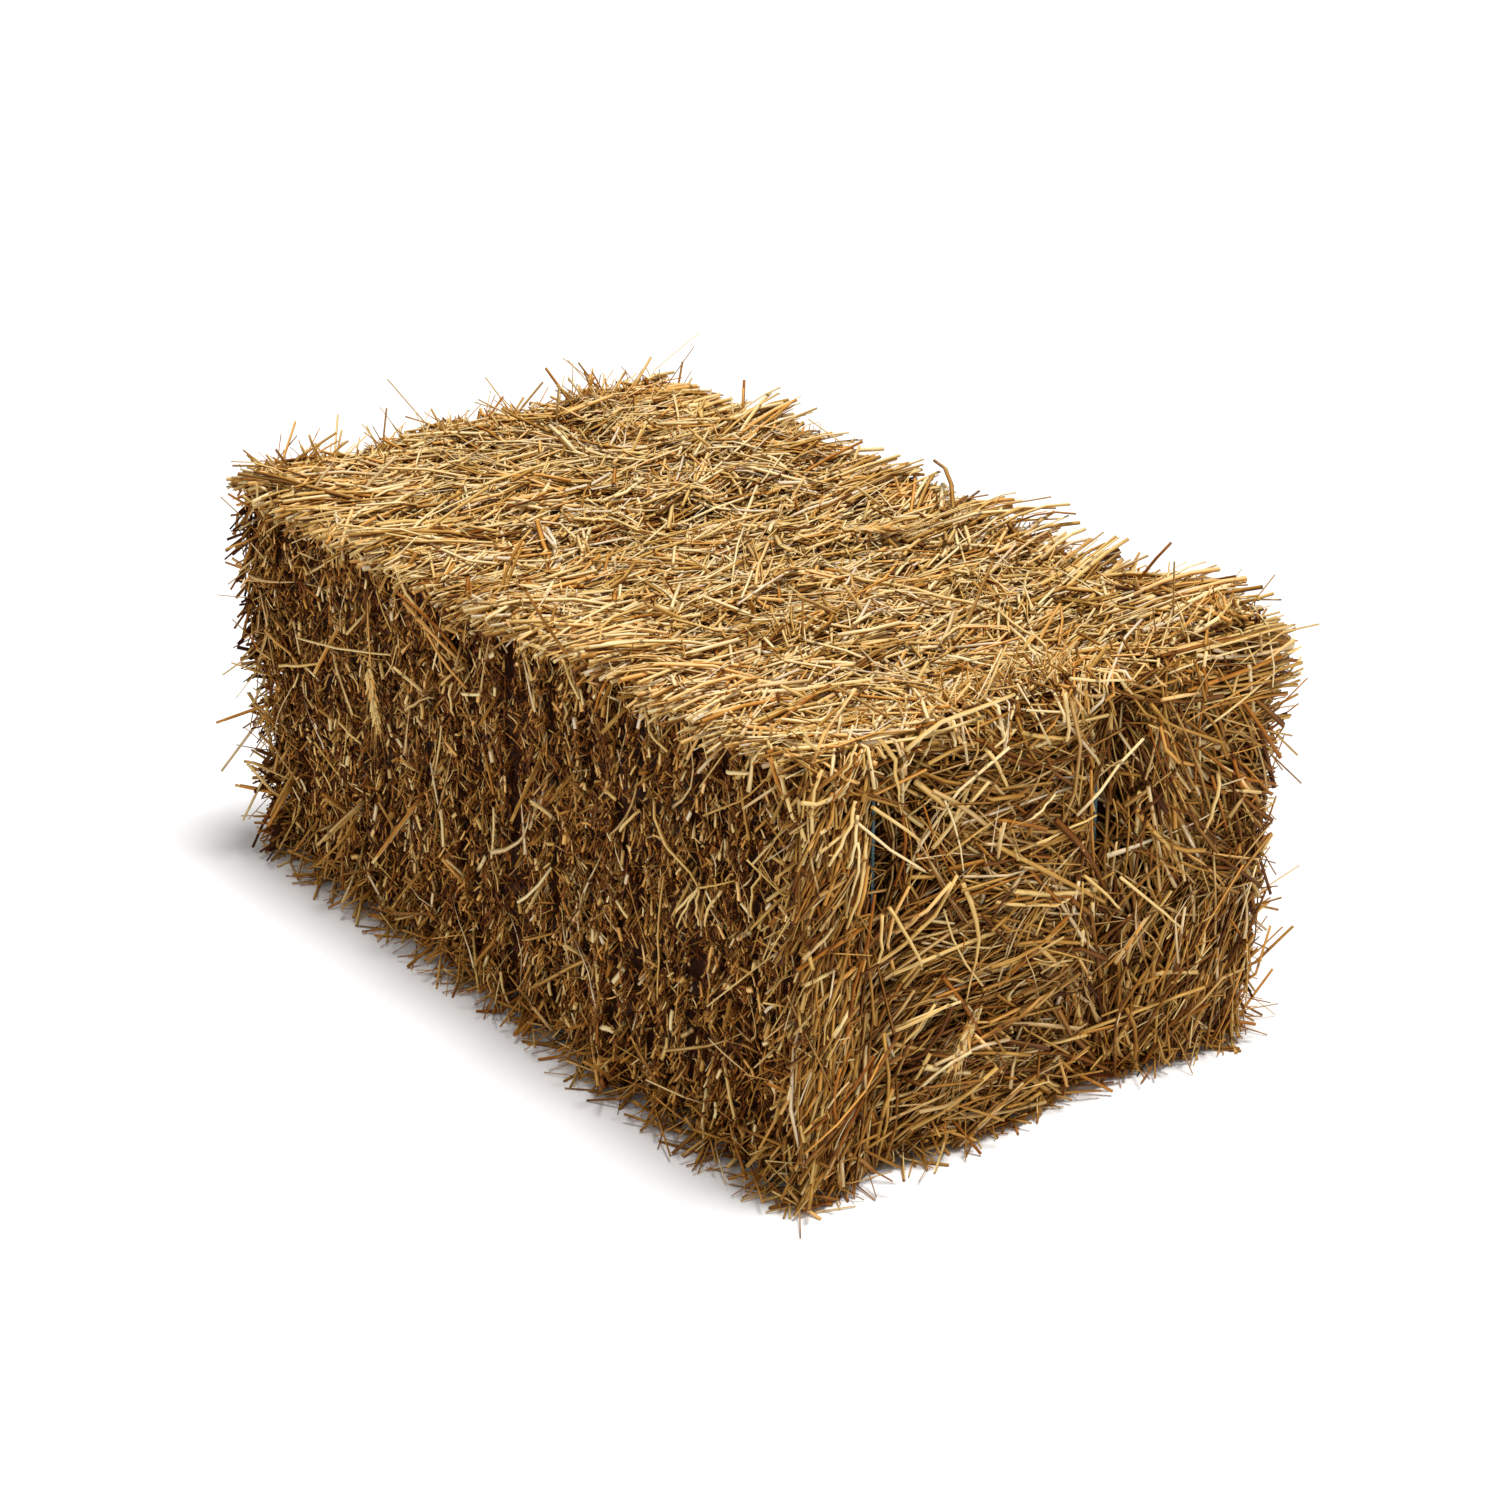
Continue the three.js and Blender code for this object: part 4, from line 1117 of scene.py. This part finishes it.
STRAW_COLORS = [
    (0.00, (0.98, 0.78, 0.43)),
    (0.15, (0.88, 0.62, 0.25)),
    (0.32, (0.70, 0.42, 0.110)),
    (0.50, (0.44, 0.205, 0.034)),
    (0.68, (0.220, 0.078, 0.011)),
    (0.86, (0.095, 0.025, 0.003)),
    (0.99, (0.044, 0.010, 0.001)),
]
HUE_TINTS = [(0.0, (1, 1, 1)), (0.2, (0.90, 0.93, 1.22)), (0.5, (1.05, 0.84, 0.64))]
JOINT_COLOR = (0.10, 0.045, 0.015, 1)
TWINE_COLORS = [(0.3, (0.055, 0.125, 0.145)), (0.75, (0.190, 0.310, 0.325))]


def straw_material():
    """Straw by its texture coordinates alone: across the rows the tone, along a row the stem."""
    material, tree, shader = new_material("straw")
    place = tree.nodes.new("ShaderNodeUVMap")
    place.uv_map = "OFBake"
    place = place.outputs["UV"]
    split = node(tree, "SeparateXYZ", Vector=place).outputs
    scaled = math_node(tree, "MULTIPLY", split["Y"], ROWS)
    row = math_node(tree, "FLOOR", scaled)
    third = math_node(tree, "DIVIDE", row, HUES)
    tone = math_node(tree, "DIVIDE", math_node(tree, "FLOOR", third), TONES - 1)

    # Fine streaks along the stem, and slow changes of tone from one stretch to the next
    streaks = noise(tree, node(tree, "Mapping", Vector=place, Scale=(14, 190, 1)).outputs[0], Scale=1.0, Detail=3.0,
                    Roughness=0.6)
    slow = noise(tree, node(tree, "Mapping", Vector=place, Scale=(9, 33, 1)).outputs[0], Scale=1.0, Detail=2.0)
    for source, amount in ((streaks, 0.22), (slow, 0.30)):
        tone = math_node(tree, "MULTIPLY_ADD", math_node(tree, "SUBTRACT", source, 0.5), amount, tone)

    # Painted light and shade round each stem: the outward side of a stem is painted lighter, and the side that
    # faces into the bale darker
    first, span = WHOLE_STRIP
    turn = math_node(tree, "MULTIPLY_ADD", math_node(tree, "FRACT", scaled), 2 * math.pi / span,
                     -2 * math.pi * (first / span + 0.25))
    painted_light_and_shade = range_node(tree, math_node(tree, "COSINE", turn), 1.0, -0.6, -0.04, 0.34)
    color = ramp(tree, math_node(tree, "ADD", tone, painted_light_and_shade), STRAW_COLORS)
    tint = ramp(tree, math_node(tree, "FRACT", third), HUE_TINTS, "CONSTANT")
    color = color_mix(tree, "MULTIPLY", 1.0, color, tint)

    # The joints of the stems: a narrow dark ring now and then
    joint_at = tree.nodes.new("ShaderNodeTexWhiteNoise")
    joint_at.noise_dimensions = "1D"
    feed(tree, joint_at.inputs["W"], row)
    away = math_node(tree, "ABSOLUTE", math_node(tree, "SUBTRACT", split["X"], joint_at.outputs["Value"]))
    ring = range_node(tree, away, 0.004, 0.010, 0.65, 0.0)
    feed(tree, shader["Base Color"], color_mix(tree, "MIX", ring, color, JOINT_COLOR))
    feed(tree, shader["Roughness"], range_node(tree, streaks, 0.0, 1.0, 0.38, 0.72))
    feed(tree, shader["Specular IOR Level"], 0.13)
    bump = node(tree, "Bump", Strength=0.35, Distance=0.0004, Height=streaks)
    feed(tree, shader["Normal"], bump.outputs["Normal"])
    return material


def twine_material():
    material, tree, shader = new_material("twine")
    fibres = noise(tree, node(tree, "TexCoord").outputs["Object"], Scale=900.0, Detail=3.0)
    feed(tree, shader["Base Color"], ramp(tree, fibres, TWINE_COLORS))
    feed(tree, shader["Roughness"], 0.5)
    return material


def floor_material():
    material, tree, shader = new_material("floor")
    for key, value in (("Base Color", (0.92, 0.92, 0.92, 1)), ("Roughness", 0.9), ("Specular IOR Level", 0.1)):
        feed(tree, shader[key], value)
    return material


# The stems, each layer over the one before: first the round of the bale, from the core outwards
UNDER = (-0.011, -0.005)  # the depth of the lowest layer
round_stems(1400, TOP, 0.25, (0.08, 0.22), UNDER, shaded_under_tone, k=3, over=0.2, sides=3)
round_stems(2900, TOP, 0.38, (0.03, 0.15), (-0.008, 0.0), top_tone, k=3, thick=0.9)
round_stems(3000, TOP, 0.66, (0.015, 0.09), (-0.003, 0.005), top_tone, k=3, lively=0.14, thick=0.9)
round_stems(260, TOP, 0.8, (0.07, 0.19), (0.0, 0.006), top_tone, turn=0.2, k=5, thick=0.9)
round_stems(1100, FOLDED, 0.3, (0.08, 0.20), UNDER, shaded_under_tone, k=3, sides=3)
round_stems(2100, (SIDE_TOP - 0.03, FOLDED[1]), 0.35, (0.06, 0.22), (-0.007, 0.001), end_tone)
round_stems(900, (SIDE_TOP - 0.05, FOLDED[1]), 0.7, (0.04, 0.16), (-0.002, 0.004), end_tone)
overhang(1, 620, 0.034)
overhang(-1, 560, 0.018)
chaff(3200)
for n, s_range in ((260, TOP), (160, FOLDED), (60, CUT)):
    round_leaves(n, *s_range)
for side in (-1, 1):
    underside = sorted((side * (FOLDED[1] + ARC), side * HALF_ROUND))
    round_stems(650, underside, 0.3, (0.06, 0.20), (-0.008, -0.002), end_tone, sides=3, lively=0.02)
    end_stems(side, 850, (0.06, 0.18), (-0.011, -0.003), shaded_end_under_tone, over=0.0, sides=3)
    end_stems(side, 1800, (0.04, 0.18), (-0.008, 0.0), end_tone, spread=0.28, sides=3)
    end_stems(side, 900, (0.02, 0.14), (-0.003, 0.005), end_tone, spread=0.5)
    droop(side, 130)
    end_leaves(side, 130)
    end_fringe(side, 260, (0.006, 0.026))
cut_slivers(18000)
cut_stubs(5000)
cut_side_litter(36, (0.03, 0.10), (-0.002, 0.004))
cut_side_litter(420, (0.006, 0.022), (-0.004, 0.003), thick=1.25, flat_share=0.75)
FRINGES = [
    (600, TOP, (0.005, 0.022), top_tone),
    (240, (-SIDE_TOP, -TOP_HALF), (0.005, 0.018), top_tone),
    (350, (TOP_HALF - 0.02, SIDE_TOP + 0.01), (0.006, 0.020), top_tone),
    (200, CUT, (0.003, 0.014), cut_tone),
    (700, FOLDED, (0.005, 0.026), end_tone),
]
for fringe in FRINGES:
    round_fringe(*fringe)
for side in (-1, 1):
    rim = sorted((side * (HALF_LENGTH - 0.03), side * HALF_LENGTH))
    round_fringe(300, TOP, (0.008, 0.036), top_tone, rim)
    round_fringe(420, FOLDED, (0.008, 0.036), end_tone, rim, fine=0.2)
    round_fringe(90, CUT, (0.006, 0.030), litter_tone, rim, fine=0.2)
foot_fringe(1500, (0.004, 0.030))
loose_straws()
corner_brush(220)
corner_stubs(420)
key_stems()
for base, way, out in EARS:
    ear(np.array(base) + MIDDLE, way, out)

straw = straw_material()
for flake, (name, part) in enumerate(zip(FLAKES, sheaf.parts(EDGES[1:-1]))):
    core(part, flake)
    piece = make_mesh(f"{name}_stems", part, straw)
    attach(piece, "root")
    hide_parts(name)


def twine_y(name, x):
    """A twine runs straight from its bite on the far end to the one on the near end."""
    return mix(TWINES[name]["far"], TWINES[name]["near"], x / LENGTH + 0.5)


def twine_path(name):
    """Points along the twine's round of the bale, each with the direction out of the bale."""
    half = HALF_LENGTH - BITE["end"] - TWINE_BEND
    top, bottom = HEIGHT - BITE["top"] - TWINE_BEND, BITE["bottom"] + TWINE_BEND
    points, outs = [], []
    corners = [(half, bottom, -90), (half, top, 0), (-half, top, 90), (-half, bottom, 180)]
    for x, z, start in corners:
        for degrees in np.linspace(start, start + 90, 14):
            a = math.radians(degrees)
            points.append((x + TWINE_BEND * math.cos(a), z + TWINE_BEND * math.sin(a)))
            outs.append((math.cos(a), math.sin(a)))
    points, outs = np.array(points + points[:1]), np.array(outs + outs[:1])
    run = np.concatenate([[0], np.cumsum(np.linalg.norm(np.diff(points, axis=0), axis=1))])
    at = np.linspace(0, run[-1], int(run[-1] / TWINE_STEP))[:-1]
    x, z, ox, oz = (np.interp(at, run, column) for column in (*points.T, *outs.T))
    return np.stack([x, twine_y(name, x), z], -1), np.stack([ox, 0 * ox, oz], -1)


def tube(vertices, faces, points, radius, closed, sides=5):
    """Adds a round tube through the points."""
    along = unit(np.roll(points, -1, 0) - np.roll(points, 1, 0) if closed else np.gradient(points, axis=0))
    across = unit(np.cross(along, (0.12, 0.9, 0.21)))
    up = np.cross(across, along)
    turn = (2 * np.pi * np.arange(sides) / sides)[:, None]
    rings = points[:, None] + radius * (across[:, None] * np.cos(turn) + up[:, None] * np.sin(turn))
    base, n = len(vertices), len(points)
    vertices.extend(rings.reshape(-1, 3))
    for k in range(n if closed else n - 1):
        a, b = base + k * sides, base + (k + 1) % n * sides
        for j in range(sides):
            turned = (j + 1) % sides
            faces.append((a + j, a + turned, b + turned, b + j))
    if not closed:
        faces.append(tuple(base + j for j in reversed(range(sides))))
        faces.append(tuple(base + (n - 1) * sides + j for j in range(sides)))


TWINE_STEP = 0.003
STRANDS = 3
STRAND_OFF, STRAND_RADIUS = 0.0008, 0.00085  # a strand's middle from the twine's
LAY = 0.011  # how far along the twine a strand winds once round


def twine_piece(name, material):
    """The twine as three strands laid round each other, with a knot and two frayed tails on the top."""
    vertices, faces = [], []
    path, out = twine_path(name)
    turns = round(len(path) * TWINE_STEP / LAY)
    phase = 2 * np.pi * turns * np.arange(len(path)) / len(path)
    starts = 2 * np.pi * np.arange(STRANDS) / STRANDS
    for start in starts:
        a = (phase + start)[:, None]
        round_twine = np.cos(a) * np.array([0, 1.0, 0]) + np.sin(a) * out
        tube(vertices, faces, path + STRAND_OFF * round_twine, STRAND_RADIUS, True)
    x = TWINES[name]["knot"]
    centre = np.array([x, twine_y(name, x), HEIGHT - BITE["top"] + 0.0025])
    t = np.linspace(0, 2 * np.pi, 60, endpoint=False)
    loop = np.stack([0.0017 * (np.sin(t) + 2 * np.sin(2 * t)), 0.0012 * (np.cos(t) - 2 * np.cos(2 * t)),
                     -0.0022 * np.sin(3 * t)], -1)
    tube(vertices, faces, centre + loop, 0.0013, True, sides=6)
    t = np.linspace(0, 1, 12)
    apart = 0.0007 + 0.0012 * np.maximum(0, t - 0.75) / 0.25
    for side in (-1, 1):
        for start in starts:
            a = start + 9 * t
            tail = np.stack([side * (0.004 + 0.026 * t), apart * np.cos(a),
                             0.0012 + 0.003 * t + apart * np.sin(a)], -1)
            tube(vertices, faces, centre + tail, 0.0007, False)
    mesh = bpy.data.meshes.new(f"{name}_strands")
    mesh.from_pydata(np.array(vertices) + MIDDLE, [], faces)
    mesh.polygons.foreach_set("use_smooth", np.ones(len(faces), bool))
    mesh.materials.append(material)
    piece = link_new(f"{name}_strands", mesh)
    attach(piece, "root")
    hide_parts(name)


twine = twine_material()
for name in TWINES:
    twine_piece(name, twine)

# Floor, light and camera
FLOOR_SIZE = 60
bpy.ops.mesh.primitive_plane_add(size=FLOOR_SIZE)
floor = bpy.context.object
floor.name = "floor"
floor.data.materials.append(floor_material())


def facing(made, direction, track):
    """Turns an object's axis track towards the direction."""
    made.rotation_mode = "QUATERNION"
    made.rotation_quaternion = Vector(direction).to_track_quat(track, "Y")


sky = bpy.data.lights.new("sky", "SUN")
sky.energy = 3.15
sky.angle = math.radians(18)
facing(link_new("sky", sky), (0.20, 0.08, 1.0), "Z")

front = bpy.data.lights.new("front", "AREA")
front.shape = "DISK"
front.size = 2.0
front.energy = 9
front_object = link_new("front", front)
front_object.location = FRONT_PLACE
facing(front_object, Vector(FRONT_TARGET) - Vector(FRONT_PLACE), "-Z")

world = bpy.data.worlds.new("studio")
world.use_nodes = True
world.node_tree.nodes["Background"].inputs["Color"].default_value = (1, 1, 1, 1)
world.node_tree.nodes["Background"].inputs["Strength"].default_value = 0.33
bpy.context.scene.world = world
bpy.context.scene.view_settings.view_transform = "Standard"

azimuth, elevation = math.radians(CAMERA_AZIMUTH), math.radians(CAMERA_ELEVATION)
across = math.cos(elevation)
back = Vector((math.sin(azimuth) * across, -math.cos(azimuth) * across, math.sin(elevation)))
camera_data = bpy.data.cameras.new("camera")
camera_data.lens = CAMERA_LENS
camera_data.sensor_width = 36
camera = link_new("camera", camera_data)
camera.location = Vector(MIDDLE) + Vector(CAMERA_TARGET) + CAMERA_DISTANCE * back
facing(camera, -back, "-Z")
bpy.context.scene.camera = camera
